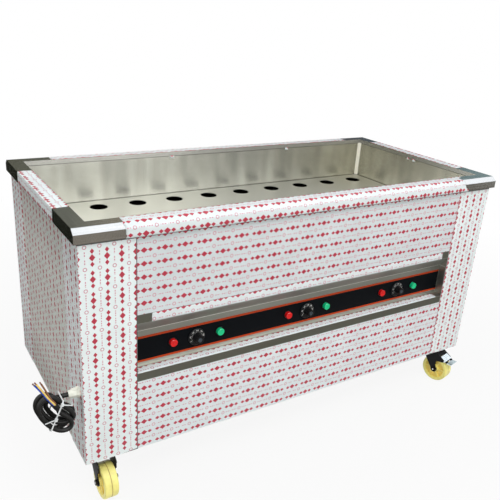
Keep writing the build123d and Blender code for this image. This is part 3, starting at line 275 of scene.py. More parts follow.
def printed_film(
    name, white, upright=False, strip=False, rim_shade_top=None, post_edge_shade=None, post_foot_shade=None, edge_shade_tone="5A5D5B"
):
    """Polyethylene protective film, blown and printed: a satin white skin with a red and pink print.

    The film is stuck on flat, so the eye sees faint long waves about 90 mm apart and a soft gloss. The
    print runs up the posts and the ends, and along the other sheets. On a loose strip it follows the
    strip's own UV map, in metres. The top, edge and foot arguments paint shade into the film's colour: a
    dark band above the top height, for the shadow under the rim's overhang; a dark line, in the edge tone,
    closer than the edge distance to the middle of the cart, for the shadow at the step of a post's edge;
    and on a post's front a dark wedge that slopes down over the foot height beside the panel, for the
    shadow at the post's foot.
    """
    paint = colours()
    made, tree, shader = start_material(name)
    coordinates = add(tree, "ShaderNodeTexCoord")
    if strip:
        place = add(
            tree, "ShaderNodeVectorMath", {0: coordinates.outputs["UV"], "Scale": 1 / MM}, operation="SCALE"
        )
        place = place.outputs[0]
    else:
        flat = add(tree, "ShaderNodeVectorMath", {0: coordinates.outputs["Normal"]}, operation="ABSOLUTE")
        facing = add(tree, "ShaderNodeSeparateXYZ", {0: flat.outputs[0]})
        spot = add(
            tree,
            "ShaderNodeVectorMath",
            {0: coordinates.outputs["Object"], "Scale": 1 / MM},
            operation="SCALE",
        )
        axes = add(tree, "ShaderNodeSeparateXYZ", {0: spot.outputs[0]})
        end_face = add(tree, "ShaderNodeMath", {0: facing.outputs["X"], 1: 0.5}, operation="GREATER_THAN")
        level = add(
            tree,
            "ShaderNodeMix",
            {"Factor": end_face.outputs[0], "A": axes.outputs["X"], "B": axes.outputs["Y"]},
            data_type="FLOAT",
        )
        pair = (axes.outputs["Z"], level.outputs[0]) if upright else (level.outputs[0], axes.outputs["Z"])
        place = add(tree, "ShaderNodeCombineXYZ", {"X": pair[0], "Y": pair[1]}).outputs[0]
    bold, fine = film_marks(tree, place)
    wave_scale = 1 / 90.0  # waves about 90 mm apart, with the place in millimetres
    wave = add(tree, "ShaderNodeTexNoise", {"Vector": place, "Scale": wave_scale, "Detail": 3.0})
    shade = add(
        tree,
        "ShaderNodeMapRange",
        {"Value": wave.outputs["Fac"], "From Min": 0.3, "From Max": 0.7, "To Min": 0.94, "To Max": 1.03},
    )
    blank = add(
        tree,
        "ShaderNodeMix",
        {"Factor": 1.0, "A": tuple(white), "B": shade.outputs[0]},
        data_type="RGBA",
        blend_type="MULTIPLY",
    )
    inked = add(
        tree,
        "ShaderNodeMix",
        {"Factor": fine, "A": blank.outputs[2], "B": tuple(paint.print_light)},
        data_type="RGBA",
    )
    inked = add(
        tree,
        "ShaderNodeMix",
        {"Factor": bold, "A": inked.outputs[2], "B": tuple(paint.print_bold)},
        data_type="RGBA",
    )
    surface = inked.outputs[2]
    if rim_shade_top is not None:
        # Painted shade: a dark band below the rim, for the shadow under the rim's overhang.
        rim_shade_tone = linear("454744")
        above = add(
            tree, "ShaderNodeMath", {0: axes.outputs["Z"], 1: rim_shade_top / MM}, operation="GREATER_THAN"
        )
        surface = add(
            tree,
            "ShaderNodeMix",
            {"Factor": above.outputs[0], "A": surface, "B": rim_shade_tone},
            data_type="RGBA",
        ).outputs[2]
    if post_edge_shade is not None:
        # Painted shade: a dark line beside a post's edge, for the shadow at the step between post and panel.
        along = add(tree, "ShaderNodeMath", {0: level.outputs[0]}, operation="ABSOLUTE")
        limit = add(
            tree,
            "ShaderNodeMix",
            {"Factor": end_face.outputs[0], "A": post_edge_shade[0] / MM, "B": post_edge_shade[1] / MM},
            data_type="FLOAT",
        )
        cut = add(tree, "ShaderNodeMath", {0: along.outputs[0], 1: limit.outputs[0]}, operation="LESS_THAN")
        surface = add(
            tree,
            "ShaderNodeMix",
            {"Factor": cut.outputs[0], "A": surface, "B": linear(edge_shade_tone)},
            data_type="RGBA",
        ).outputs[2]
    if post_foot_shade is not None:
        # Painted shade: a dark wedge at the foot of a post's front, beside the panel.
        wedge_height, wedge_length, foot_shade_tone = 3.4, 46.0, linear("33352F")
        edge_start = post_edge_shade[0] / MM
        foot_shade_slope = add(
            tree,
            "ShaderNodeMapRange",
            {
                "Value": along.outputs[0],
                "From Min": edge_start,
                "From Max": edge_start + wedge_length,
                "To Min": post_foot_shade / MM + wedge_height,
                "To Max": post_foot_shade / MM,
            },
        )
        under = add(
            tree, "ShaderNodeMath", {0: axes.outputs["Z"], 1: foot_shade_slope.outputs[0]}, operation="LESS_THAN"
        )
        front = add(tree, "ShaderNodeMath", {0: facing.outputs["X"], 1: 0.5}, operation="LESS_THAN")
        under = add(tree, "ShaderNodeMath", {0: under.outputs[0], 1: front.outputs[0]}, operation="MULTIPLY")
        surface = add(
            tree,
            "ShaderNodeMix",
            {"Factor": under.outputs[0], "A": surface, "B": foot_shade_tone},
            data_type="RGBA",
        ).outputs[2]
    bump = add(
        tree, "ShaderNodeBump", {"Height": wave.outputs["Fac"], "Strength": 0.25, "Distance": 1.5 * MM}
    )
    tree.links.new(surface, shader.inputs["Base Color"])
    tree.links.new(bump.outputs[0], shader.inputs["Normal"])
    shader.inputs["Roughness"].default_value = 0.38
    shader.inputs["IOR"].default_value = 1.51
    return made


def brushed_stainless(
    name, tone, roughness, grain, contrast=1.0, smear=0.0, inside=None, bands=(), warm=None
):
    """Stainless sheet, brushed along one way: soft streaks that stretch every reflection across the grain.

    grain says along which axes the streaks run. Real scratches are about 0.1 mm apart, too fine to show,
    so they are drawn about 2 mm apart. inside is an axis, a distance from the cart's middle on it, and the
    roughness and smear of the sheet closer than that: the inner lip of the rim is brushed as the well is.
    Each of bands is a lower and an upper height and the tone of the sheet between them. warm is the tone that
    the sheet takes on towards the cart's right end, with broad upright smears over the whole of it.
    """
    made, tree, shader = start_material(name)
    coordinates = add(tree, "ShaderNodeTexCoord")
    axes = add(tree, "ShaderNodeSeparateXYZ", {0: coordinates.outputs["Object"]})
    across = 1 / (2.0 * MM)
    along = 1 / (240.0 * MM)
    stretch = [along if axis in grain else across for axis in "XYZ"]
    spread = add(tree, "ShaderNodeMapping", {"Vector": coordinates.outputs["Object"], "Scale": stretch})
    streak = add(tree, "ShaderNodeTexNoise", {"Vector": spread.outputs[0], "Scale": 1.0, "Detail": 4.0})
    cloud_scale = 1 / (180.0 * MM)
    cloud = add(
        tree,
        "ShaderNodeTexNoise",
        {"Vector": coordinates.outputs["Object"], "Scale": cloud_scale, "Detail": 2.0},
    )
    mixed = add(
        tree,
        "ShaderNodeMix",
        {"Factor": 0.4, "A": streak.outputs["Fac"], "B": cloud.outputs["Fac"]},
        data_type="FLOAT",
    )
    shade = add(
        tree,
        "ShaderNodeMapRange",
        {
            "Value": mixed.outputs[0],
            "From Min": 0.3,
            "From Max": 0.7,
            "To Min": 1 - 0.14 * contrast,
            "To Max": 1 + 0.08 * contrast,
        },
    )
    steel = add(
        tree,
        "ShaderNodeMix",
        {"Factor": 1.0, "A": tone, "B": shade.outputs[0]},
        data_type="RGBA",
        blend_type="MULTIPLY",
    )
    rough = add(
        tree,
        "ShaderNodeMapRange",
        {
            "Value": streak.outputs["Fac"],
            "From Min": 0.3,
            "From Max": 0.7,
            "To Min": roughness * (1 - 0.2 * contrast),
            "To Max": roughness * (1 + 0.25 * contrast),
        },
    )
    bump = add(
        tree,
        "ShaderNodeBump",
        {"Height": streak.outputs["Fac"], "Strength": 0.05 * contrast, "Distance": 0.1 * MM},
    )
    surface = steel.outputs[2]
    if warm:
        side = add(
            tree, "ShaderNodeMapRange", {"Value": axes.outputs["X"], "From Min": 0.1, "From Max": 0.65}
        )
        tinted = add(
            tree, "ShaderNodeMix", {"Factor": side.outputs[0], "A": tone, "B": warm}, data_type="RGBA"
        )
        smear_width, smear_height = 55.0 * MM, 420.0 * MM
        upright = [1 / smear_width, 1 / smear_width, 1 / smear_height]
        drawn = add(tree, "ShaderNodeMapping", {"Vector": coordinates.outputs["Object"], "Scale": upright})
        smears = add(tree, "ShaderNodeTexNoise", {"Vector": drawn.outputs[0], "Scale": 1.0, "Detail": 1.0})
        # Broad upright smears, lighter and darker, multiply the colour.
        mottled_colour = add(
            tree,
            "ShaderNodeMapRange",
            {
                "Value": smears.outputs["Fac"],
                "From Min": 0.3,
                "From Max": 0.7,
                "To Min": 0.84,
                "To Max": 1.14,
            },
        )
        surface = add(
            tree,
            "ShaderNodeMix",
            {"Factor": 1.0, "A": tinted.outputs[2], "B": mottled_colour.outputs[0]},
            data_type="RGBA",
            blend_type="MULTIPLY",
        ).outputs[2]
    for low, high, band_tone in bands:
        within = add(
            tree,
            "ShaderNodeMath",
            {0: axes.outputs["Z"], 1: (low + high) / 2, 2: (high - low) / 2},
            operation="COMPARE",
        )
        surface = add(
            tree,
            "ShaderNodeMix",
            {"Factor": within.outputs[0], "A": surface, "B": linear(band_tone)},
            data_type="RGBA",
        ).outputs[2]
    tree.links.new(surface, shader.inputs["Base Color"])
    tree.links.new(rough.outputs[0], shader.inputs["Roughness"])
    tree.links.new(bump.outputs[0], shader.inputs["Normal"])
    shader.inputs["Metallic"].default_value = 1.0
    shader.inputs["Anisotropic"].default_value = smear
    shader.inputs["Anisotropic Rotation"].default_value = 0.25
    if inside:
        axis, limit, lip_roughness, lip_smear = inside
        lip = add(tree, "ShaderNodeMath", {0: axes.outputs[axis], 1: 0.0, 2: limit}, operation="COMPARE")
        rough = add(
            tree,
            "ShaderNodeMix",
            {"Factor": lip.outputs[0], "A": rough.outputs[0], "B": lip_roughness},
            data_type="FLOAT",
        )
        stretch = add(tree, "ShaderNodeMath", {0: lip.outputs[0], 1: lip_smear}, operation="MULTIPLY")
        tree.links.new(rough.outputs[0], shader.inputs["Roughness"])
        tree.links.new(stretch.outputs[0], shader.inputs["Anisotropic"])
    if smear or inside:
        around = add(tree, "ShaderNodeTangent", direction_type="RADIAL", axis="Z")
        tree.links.new(around.outputs[0], shader.inputs["Tangent"])
    return made


def moulded_plastic(name, tone, roughness, grit=0.6, depth=0.02, gloss=0.5):
    """Moulded plastic, rubber or stoved enamel: even colour and a soft gloss.

    The mould or the oven leaves a fine grain, grit millimetres wide and depth millimetres high.
    """
    made, tree, shader = start_material(name)
    coordinates = add(tree, "ShaderNodeTexCoord")
    grain = add(
        tree,
        "ShaderNodeTexNoise",
        {"Vector": coordinates.outputs["Object"], "Scale": 1 / (grit * MM), "Detail": 2.0},
    )
    cloud = add(
        tree,
        "ShaderNodeTexNoise",
        {"Vector": coordinates.outputs["Object"], "Scale": 1 / (14 * MM), "Detail": 2.0},
    )
    shade = add(
        tree,
        "ShaderNodeMapRange",
        {"Value": cloud.outputs["Fac"], "From Min": 0.3, "From Max": 0.7, "To Min": 0.93, "To Max": 1.05},
    )
    mixed = add(
        tree,
        "ShaderNodeMix",
        {"Factor": 1.0, "A": tone, "B": shade.outputs[0]},
        data_type="RGBA",
        blend_type="MULTIPLY",
    )
    bump = add(
        tree, "ShaderNodeBump", {"Height": grain.outputs["Fac"], "Strength": 0.2, "Distance": depth * MM}
    )
    tree.links.new(mixed.outputs[2], shader.inputs["Base Color"])
    tree.links.new(bump.outputs[0], shader.inputs["Normal"])
    shader.inputs["Roughness"].default_value = roughness
    shader.inputs["IOR"].default_value = 1.5
    shader.inputs["Specular IOR Level"].default_value = gloss
    return made


def lamp_lens(name, tone):
    """Clear-coloured polycarbonate lens, moulded with fine prisms: deep colour under a hard gloss."""
    made, tree, shader = start_material(name)
    coordinates = add(tree, "ShaderNodeTexCoord")
    prism = add(
        tree,
        "ShaderNodeTexVoronoi",
        {"Vector": coordinates.outputs["Object"], "Scale": 1 / (2.2 * MM)},
        feature="SMOOTH_F1",
    )
    shade = add(
        tree,
        "ShaderNodeMapRange",
        {
            "Value": prism.outputs["Distance"],
            "From Min": 0.0,
            "From Max": 0.8,
            "To Min": 1.12,
            "To Max": 0.8,
        },
    )
    glow = add(
        tree,
        "ShaderNodeMix",
        {"Factor": 1.0, "A": tone, "B": shade.outputs[0]},
        data_type="RGBA",
        blend_type="MULTIPLY",
    )
    tree.links.new(glow.outputs[2], shader.inputs["Base Color"])
    shader.inputs["Roughness"].default_value = 0.16
    shader.inputs["IOR"].default_value = 1.58
    shader.inputs["Coat Weight"].default_value = 0.15
    return made


def control_label_print():
    """Screen-printed polyester label: matt black between two orange lines, 6.5 mm wide."""
    paint = colours()
    low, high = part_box("control_label")
    border = 6.5 * MM
    made, tree, shader = start_material("screen-printed polyester label")
    coordinates = add(tree, "ShaderNodeTexCoord")
    axes = add(tree, "ShaderNodeSeparateXYZ", {0: coordinates.outputs["Object"]})
    middle, half = (low[2] + high[2]) / 2, (high[2] - low[2]) / 2
    inside = add(
        tree, "ShaderNodeMath", {0: axes.outputs["Z"], 1: middle, 2: half - border}, operation="COMPARE"
    )
    grain = add(
        tree,
        "ShaderNodeTexNoise",
        {"Vector": coordinates.outputs["Object"], "Scale": 1 / (0.8 * MM), "Detail": 2.0},
    )
    upper = add(tree, "ShaderNodeMath", {0: axes.outputs["Z"], 1: middle}, operation="GREATER_THAN")
    lines = add(
        tree,
        "ShaderNodeMix",
        {"Factor": upper.outputs[0], "A": tuple(paint.border), "B": tuple(paint.upper_border)},
        data_type="RGBA",
    )
    mixed = add(
        tree,
        "ShaderNodeMix",
        {"Factor": inside.outputs[0], "A": lines.outputs[2], "B": tuple(paint.label)},
        data_type="RGBA",
    )
    bump = add(
        tree, "ShaderNodeBump", {"Height": grain.outputs["Fac"], "Strength": 0.15, "Distance": 0.05 * MM}
    )
    tree.links.new(mixed.outputs[2], shader.inputs["Base Color"])
    tree.links.new(bump.outputs[0], shader.inputs["Normal"])
    shader.inputs["Roughness"].default_value = 0.5
    shader.inputs["IOR"].default_value = 1.57
    shader.inputs["Specular IOR Level"].default_value = 0.06
    return made


def cream_nylon(place):
    """Cast nylon wheel: pale yellow and waxy, with shade painted in as a deeper yellow where the side is
    recessed, less of it on the rib tops.

    A brown line runs round the tread where the two halves of the mould met.
    """
    paint = colours()
    spin = joint(f"wheel_{place}")
    low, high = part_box(f"wheel_{place}")
    rim_inside, tread = 38.5 * MM, 0.45 * (high[2] - low[2])
    made, tree, shader = start_material(f"cast nylon {place}")
    coordinates = add(tree, "ShaderNodeTexCoord")
    centred = add(
        tree,
        "ShaderNodeVectorMath",
        {0: coordinates.outputs["Object"], 1: spin["pos_m"]},
        operation="SUBTRACT",
    )
    depth = add(
        tree, "ShaderNodeVectorMath", {0: centred.outputs[0], 1: spin["axis"]}, operation="DOT_PRODUCT"
    )
    depth = add(tree, "ShaderNodeMath", {0: depth.outputs["Value"]}, operation="ABSOLUTE")
    sideways = add(
        tree, "ShaderNodeVectorMath", {0: centred.outputs[0], 1: spin["axis"]}, operation="CROSS_PRODUCT"
    )
    reach = add(tree, "ShaderNodeVectorMath", {0: sideways.outputs[0]}, operation="LENGTH")
    recess = add(tree, "ShaderNodeMath", {0: reach.outputs["Value"], 1: rim_inside}, operation="LESS_THAN")
    stain = add(
        tree,
        "ShaderNodeTexNoise",
        {"Vector": coordinates.outputs["Object"], "Scale": 1 / (18 * MM), "Detail": 3.0},
    )
    shade = add(
        tree,
        "ShaderNodeMapRange",
        {"Value": stain.outputs["Fac"], "From Min": 0.3, "From Max": 0.7, "To Min": 0.9, "To Max": 1.04},
    )
    # The rib tops take less of the painted shade, so they read paler.
    rib = add(
        tree,
        "ShaderNodeMapRange",
        {
            "Value": depth.outputs[0],
            "From Min": 14.0 * MM,
            "From Max": 16.5 * MM,
            "To Min": 1.0,
            "To Max": 0.35,
        },
    )
    recess = add(tree, "ShaderNodeMath", {0: recess.outputs[0], 1: rib.outputs[0]}, operation="MULTIPLY")
    body = add(
        tree,
        "ShaderNodeMix",
        {"Factor": recess.outputs[0], "A": tuple(paint.wheel), "B": tuple(paint.wheel_recess_shade)},
        data_type="RGBA",
    )
    outer = add(tree, "ShaderNodeMath", {0: reach.outputs["Value"], 1: tread}, operation="GREATER_THAN")
    midway = add(
        tree,
        "ShaderNodeMapRange",
        {
            "Value": depth.outputs[0],
            "From Min": 0.5 * MM,
            "From Max": 1.6 * MM,
            "To Min": 0.75,
            "To Max": 0.0,
        },
    )
    parting = add(tree, "ShaderNodeMath", {0: midway.outputs[0], 1: outer.outputs[0]}, operation="MULTIPLY")
    body = add(
        tree,
        "ShaderNodeMix",
        {"Factor": parting.outputs[0], "A": body.outputs[2], "B": linear("A87B33")},
        data_type="RGBA",
    )
    mottled_colour = add(
        tree,
        "ShaderNodeMix",
        {"Factor": 1.0, "A": body.outputs[2], "B": shade.outputs[0]},
        data_type="RGBA",
        blend_type="MULTIPLY",
    )
    bump = add(
        tree, "ShaderNodeBump", {"Height": stain.outputs["Fac"], "Strength": 0.1, "Distance": 0.3 * MM}
    )
    tree.links.new(mottled_colour.outputs[2], shader.inputs["Base Color"])
    tree.links.new(bump.outputs[0], shader.inputs["Normal"])
    shader.inputs["Roughness"].default_value = 0.36
    shader.inputs["IOR"].default_value = 1.53
    return made


def blackened_axle(place):
    """Blackened steel axle: near black and dull, with a pale dot painted on the middle of each end as a
    highlight.
    """
    spin = joint(f"wheel_{place}")
    dot = 3.0 * MM
    made, tree, shader = start_material(f"blackened axle steel {place}")
    coordinates = add(tree, "ShaderNodeTexCoord")
    centred = add(
        tree,
        "ShaderNodeVectorMath",
        {0: coordinates.outputs["Object"], 1: spin["pos_m"]},
        operation="SUBTRACT",
    )
    sideways = add(
        tree, "ShaderNodeVectorMath", {0: centred.outputs[0], 1: spin["axis"]}, operation="CROSS_PRODUCT"
    )
    reach = add(tree, "ShaderNodeVectorMath", {0: sideways.outputs[0]}, operation="LENGTH")
    # Painted highlight: a pale, non-metal dot on the middle of the axle's end.
    turned = add(tree, "ShaderNodeMath", {0: reach.outputs["Value"], 1: dot}, operation="LESS_THAN")
    scale = add(
        tree,
        "ShaderNodeTexNoise",
        {"Vector": coordinates.outputs["Object"], "Scale": 1 / (3 * MM), "Detail": 3.0},
    )
    rough = add(
        tree,
        "ShaderNodeMapRange",
        {"Value": scale.outputs["Fac"], "From Min": 0.3, "From Max": 0.7, "To Min": 0.35, "To Max": 0.5},
    )
    skin = add(
        tree,
        "ShaderNodeMix",
        {"Factor": turned.outputs[0], "A": linear("26241F"), "B": linear("F4F6F6")},
        data_type="RGBA",
    )
    metal = add(tree, "ShaderNodeMath", {0: 1.0, 1: turned.outputs[0]}, operation="SUBTRACT")
    tree.links.new(skin.outputs[2], shader.inputs["Base Color"])
    tree.links.new(rough.outputs[0], shader.inputs["Roughness"])
    tree.links.new(metal.outputs[0], shader.inputs["Metallic"])
    return made


def plated_metal(name, tone, roughness, spangle=3.0, slot=None):
    """Plated or bare metal: a bright skin with faint cloudy spangle, spangle millimetres across.

    slot holds a place, a direction and two distances along it, between which the metal is painted dark, as
    shade in and around the pedal's slot.
    """
    made, tree, shader = start_material(name)
    coordinates = add(tree, "ShaderNodeTexCoord")
    cloud = add(
        tree,
        "ShaderNodeTexNoise",
        {"Vector": coordinates.outputs["Object"], "Scale": 1 / (spangle * MM), "Detail": 3.0},
    )
    shade = add(
        tree,
        "ShaderNodeMapRange",
        {"Value": cloud.outputs["Fac"], "From Min": 0.3, "From Max": 0.7, "To Min": 0.82, "To Max": 1.06},
    )
    skin = add(
        tree,
        "ShaderNodeMix",
        {"Factor": 1.0, "A": tone, "B": shade.outputs[0]},
        data_type="RGBA",
        blend_type="MULTIPLY",
    )
    if slot:
        place, heading, start, end = slot
        centred = add(
            tree, "ShaderNodeVectorMath", {0: coordinates.outputs["Object"], 1: place}, operation="SUBTRACT"
        )
        along = add(
            tree, "ShaderNodeVectorMath", {0: centred.outputs[0], 1: heading}, operation="DOT_PRODUCT"
        )
        dark = add(
            tree,
            "ShaderNodeMath",
            {0: along.outputs["Value"], 1: (start + end) / 2, 2: (end - start) / 2},
            operation="COMPARE",
        )
        skin = add(
            tree,
            "ShaderNodeMix",
            {"Factor": dark.outputs[0], "A": skin.outputs[2], "B": linear("24262A")},
            data_type="RGBA",
        )
    rough = add(
        tree,
        "ShaderNodeMapRange",
        {
            "Value": cloud.outputs["Fac"],
            "From Min": 0.3,
            "From Max": 0.7,
            "To Min": roughness * 0.8,
            "To Max": roughness * 1.3,
        },
    )
    tree.links.new(skin.outputs[2], shader.inputs["Base Color"])
    tree.links.new(rough.outputs[0], shader.inputs["Roughness"])
    shader.inputs["Metallic"].default_value = 1.0
    return made


def softbox(name, place, target, width, depth, power, tone="FFFFFF"):
    """One soft rectangular studio lamp aimed at a point."""
    lamp = bpy.data.lights.new(name, "AREA")
    lamp.shape = "RECTANGLE"
    lamp.size = width
    lamp.size_y = depth
    lamp.energy = power
    lamp.color = linear(tone)[:3]
    made = link_object(name, lamp)
    made.location = place
    made.rotation_euler = (Vector(target) - Vector(place)).to_track_quat("-Z", "Y").to_euler()


def level_corners(left, right, near, far, height):
    """Corners of a level board."""
    return ((left, near, height), (right, near, height), (right, far, height), (left, far, height))


def stage_sheet(name, corners, material):
    """A flat four-cornered sheet of the stage."""
    mesh = bpy.data.meshes.new(name)
    mesh.from_pydata(corners, [], [(0, 1, 2, 3)])
    mesh.materials.append(material)
    return link_object(name, mesh)


def board(name, corners, material):
    """A flat board that neither the camera nor a dull surface sees."""
    made = stage_sheet(name, corners, material)
    made.visible_camera = False
    made.visible_diffuse = False
    made.visible_transmission = False
    return made


def flag(name, corners, tones):
    """A dull board that only polished steel sees, so that its faces part from each other.

    tones holds pairs of a place along X and the board's colour there.
    """
    grey = bpy.data.materials.new(name)
    grey.use_nodes = True
    tree = grey.node_tree
    tree.nodes.clear()
    coordinates = add(tree, "ShaderNodeTexCoord")
    axes = add(tree, "ShaderNodeSeparateXYZ", {0: coordinates.outputs["Object"]})
    first, last = tones[0][0], tones[-1][0]
    across = add(
        tree, "ShaderNodeMapRange", {"Value": axes.outputs["X"], "From Min": first, "From Max": last}
    )
    tone = add(tree, "ShaderNodeValToRGB", {"Fac": across.outputs[0]})
    stops = tone.color_ramp.elements
    stops[0].color, stops[1].color = linear(tones[0][1]), linear(tones[-1][1])
    for spot, code in tones[1:-1]:
        stops.new((spot - first) / (last - first)).color = linear(code)
    plain = add(tree, "ShaderNodeEmission", {"Color": tone.outputs["Color"], "Strength": 1.0})
    add(tree, "ShaderNodeOutputMaterial", {"Surface": plain.outputs[0]})
    made = board(name, corners, grey)
    made.visible_shadow = False


def cutter(name, low, high):
    """A black board beside the left end that nothing sees, but which cuts off some of the lamps' light."""
    black, _, shader = start_material(name)
    shader.inputs["Base Color"].default_value = (0.0, 0.0, 0.0, 1.0)
    side, front, back = -0.95, -1.0, 1.2
    corners = ((side, front, low), (side, back, low), (side, back, high), (side, front, high))
    made = board(name, corners, black)
    made.visible_glossy = False


def white_surround(ambient):
    """World: white where the camera, metal or lenses look at it, and an even dim fill on the object."""
    world = bpy.data.worlds.new("studio")
    bpy.context.scene.world = world
    world.use_nodes = True
    tree = world.node_tree
    tree.nodes.clear()
    path = add(tree, "ShaderNodeLightPath")
    seen = add(
        tree,
        "ShaderNodeMath",
        {0: path.outputs["Is Camera Ray"], 1: path.outputs["Is Glossy Ray"]},
        operation="MAXIMUM",
    )
    seen = add(
        tree,
        "ShaderNodeMath",
        {0: seen.outputs[0], 1: path.outputs["Is Transmission Ray"]},
        operation="MAXIMUM",
    )
    strength = add(
        tree, "ShaderNodeMix", {"Factor": seen.outputs[0], "A": ambient, "B": 1.0}, data_type="FLOAT"
    )
    background = add(tree, "ShaderNodeBackground", {"Color": (1, 1, 1, 1), "Strength": strength.outputs[0]})
    add(tree, "ShaderNodeOutputWorld", {"Surface": background.outputs[0]})


def studio_floor():
    """Matt white floor: mostly white to the camera, with the cart's own shadow left on it."""
    made, tree, shader = start_material("white studio floor")
    coordinates = add(tree, "ShaderNodeTexCoord")
    mottle = add(
        tree, "ShaderNodeTexNoise", {"Vector": coordinates.outputs["Object"], "Scale": 2.0, "Detail": 2.0}
    )
    bump = add(tree, "ShaderNodeBump", {"Height": mottle.outputs["Fac"], "Strength": 0.02, "Distance": MM})
    tree.links.new(bump.outputs[0], shader.inputs["Normal"])
    shader.inputs["Base Color"].default_value = tuple(colours().floor)
    shader.inputs["Roughness"].default_value = 0.9
    path = add(tree, "ShaderNodeLightPath")
    seen = add(
        tree,
        "ShaderNodeMath",
        {0: path.outputs["Is Camera Ray"], 1: path.outputs["Is Glossy Ray"]},
        operation="MAXIMUM",
    )
    seen = add(
        tree,
        "ShaderNodeMath",
        {0: seen.outputs[0], 1: path.outputs["Is Transmission Ray"]},
        operation="MAXIMUM",
    )
    reach = add(tree, "ShaderNodeVectorMath", {0: coordinates.outputs["Object"]}, operation="LENGTH")
    far = add(
        tree,
        "ShaderNodeMapRange",
        {"Value": reach.outputs["Value"], "From Min": 0.6, "From Max": 2.6, "To Min": 0.89, "To Max": 1.0},
    )
    share = add(tree, "ShaderNodeMath", {0: seen.outputs[0], 1: far.outputs[0]}, operation="MULTIPLY")
    white = add(tree, "ShaderNodeEmission", {"Color": (1, 1, 1, 1), "Strength": 1.0})
    mixed = add(
        tree, "ShaderNodeMixShader", {0: share.outputs[0], 1: shader.outputs["BSDF"], 2: white.outputs[0]}
    )
    output = next(node for node in tree.nodes if node.type == "OUTPUT_MATERIAL")
    tree.links.new(mixed.outputs[0], output.inputs["Surface"])
    return made


class STEAMER_OT_stage(bpy.types.Operator):
    """Makes the camera, the white floor and the soft lamps"""

    bl_idname = "steamer.stage"
    bl_label = "Stage"

    def execute(self, context):
        scene = context.scene
        scene.view_settings.view_transform = "Standard"
        azimuth, elevation, roll = (math.radians(a) for a in (-32.97, 21.39, 3.876))
        back = Vector(
            (
                math.sin(azimuth) * math.cos(elevation),
                -math.cos(azimuth) * math.cos(elevation),
                math.sin(elevation),
            )
        )
        lens = bpy.data.cameras.new("camera")
        lens.sensor_width = 36.0
        lens.lens = 44.211
        lens.clip_end = 200.0
        camera = link_object("camera", lens)
        camera.location = (-1.1227, -1.6888, 1.3168)
        camera.rotation_mode = "QUATERNION"
        camera.rotation_quaternion = (-back).to_track_quat("-Z", "Y") @ Quaternion((0, 0, 1), roll)
        scene.camera = camera
        white_surround(ambient=0.34)
        reach = 40.0
        stage_sheet("floor", level_corners(-reach, reach, -reach, reach, 0), studio_floor())
        softbox("front softbox", (0.25, -3.5, 1.45), (0.1, 0.0, 0.45), width=3.0, depth=1.6, power=33)
        softbox("top softbox", (0.2, -2.0, 3.0), (0.0, -0.35, 0.4), width=3.0, depth=1.2, power=46)
        softbox("left softbox", (-3.4, -1.2, 1.7), (-0.75, -0.2, 0.6), width=1.2, depth=1.2, power=18)
        softbox("back softbox", (-1.7, 0.9, 2.6), (-0.4, 0.0, 0.7), width=2.0, depth=1.6, power=33)
        softbox(
            "strip light",
            (1.0, -0.75, 2.6),
            (1.0, -0.75, 0.0),
            width=6.0,
            depth=0.5,
            power=11,
            tone="DFEAFF",
        )
        cutter("left cutter", low=0.75, high=1.13)
        cutter("low left cutter", low=0.24, high=0.36)
        off_floor, before_cart, left_of_cart = 0.004, -0.6, -0.745
        flag(
            "front flag",
            level_corners(-3.0, 4.0, before_cart, -7.0, off_floor),
            ((0.0, "98928A"), (3.5, "58554B")),
        )
        flag(
            "left flag",
            level_corners(-5.0, left_of_cart, before_cart, 6.0, off_floor),
            ((-5.0, "24261F"), (left_of_cart, "24261F")),
        )
        flag(
            "back flag",
            ((-4.0, 3.0, 0.3), (7.0, 3.0, 0.3), (7.0, 3.0, 2.7), (-4.0, 3.0, 2.7)),
            (
                (-0.2, "66675A"),
                (0.2, "6E7269"),
                (0.6, "97907F"),
                (1.6, "8B887C"),
                (3.0, "4A4E56"),
                (5.2, "6A8C91"),
            ),
        )
        return {"FINISHED"}


def ripple(t, phase):
    """A smooth uneven wave between -1 and 1."""
    long_wave = math.sin(t + phase)
    middle_wave = math.sin(2.3 * t + 2.1 * phase)
    short_wave = math.sin(4.7 * t + 0.7 * phase)
    return 0.5 * long_wave + 0.3 * middle_wave + 0.2 * short_wave


def hank_frame():
    """Centre of the hank and its directions: along it, across it and from layer to layer."""
    lean = math.radians(31.2)
    left_end, depth, rim_top = -0.739, -0.3215, 0.820
    out_from_end, below_rim = 72.2 * MM, 489.5 * MM
    centre = Vector((left_end - out_from_end, depth, rim_top - below_rim))
    up = Vector((-math.sin(lean), 0, math.cos(lean)))
    right = Vector((math.cos(lean), 0, math.sin(lean)))
    return centre, up, right, Vector((0, -1, 0))


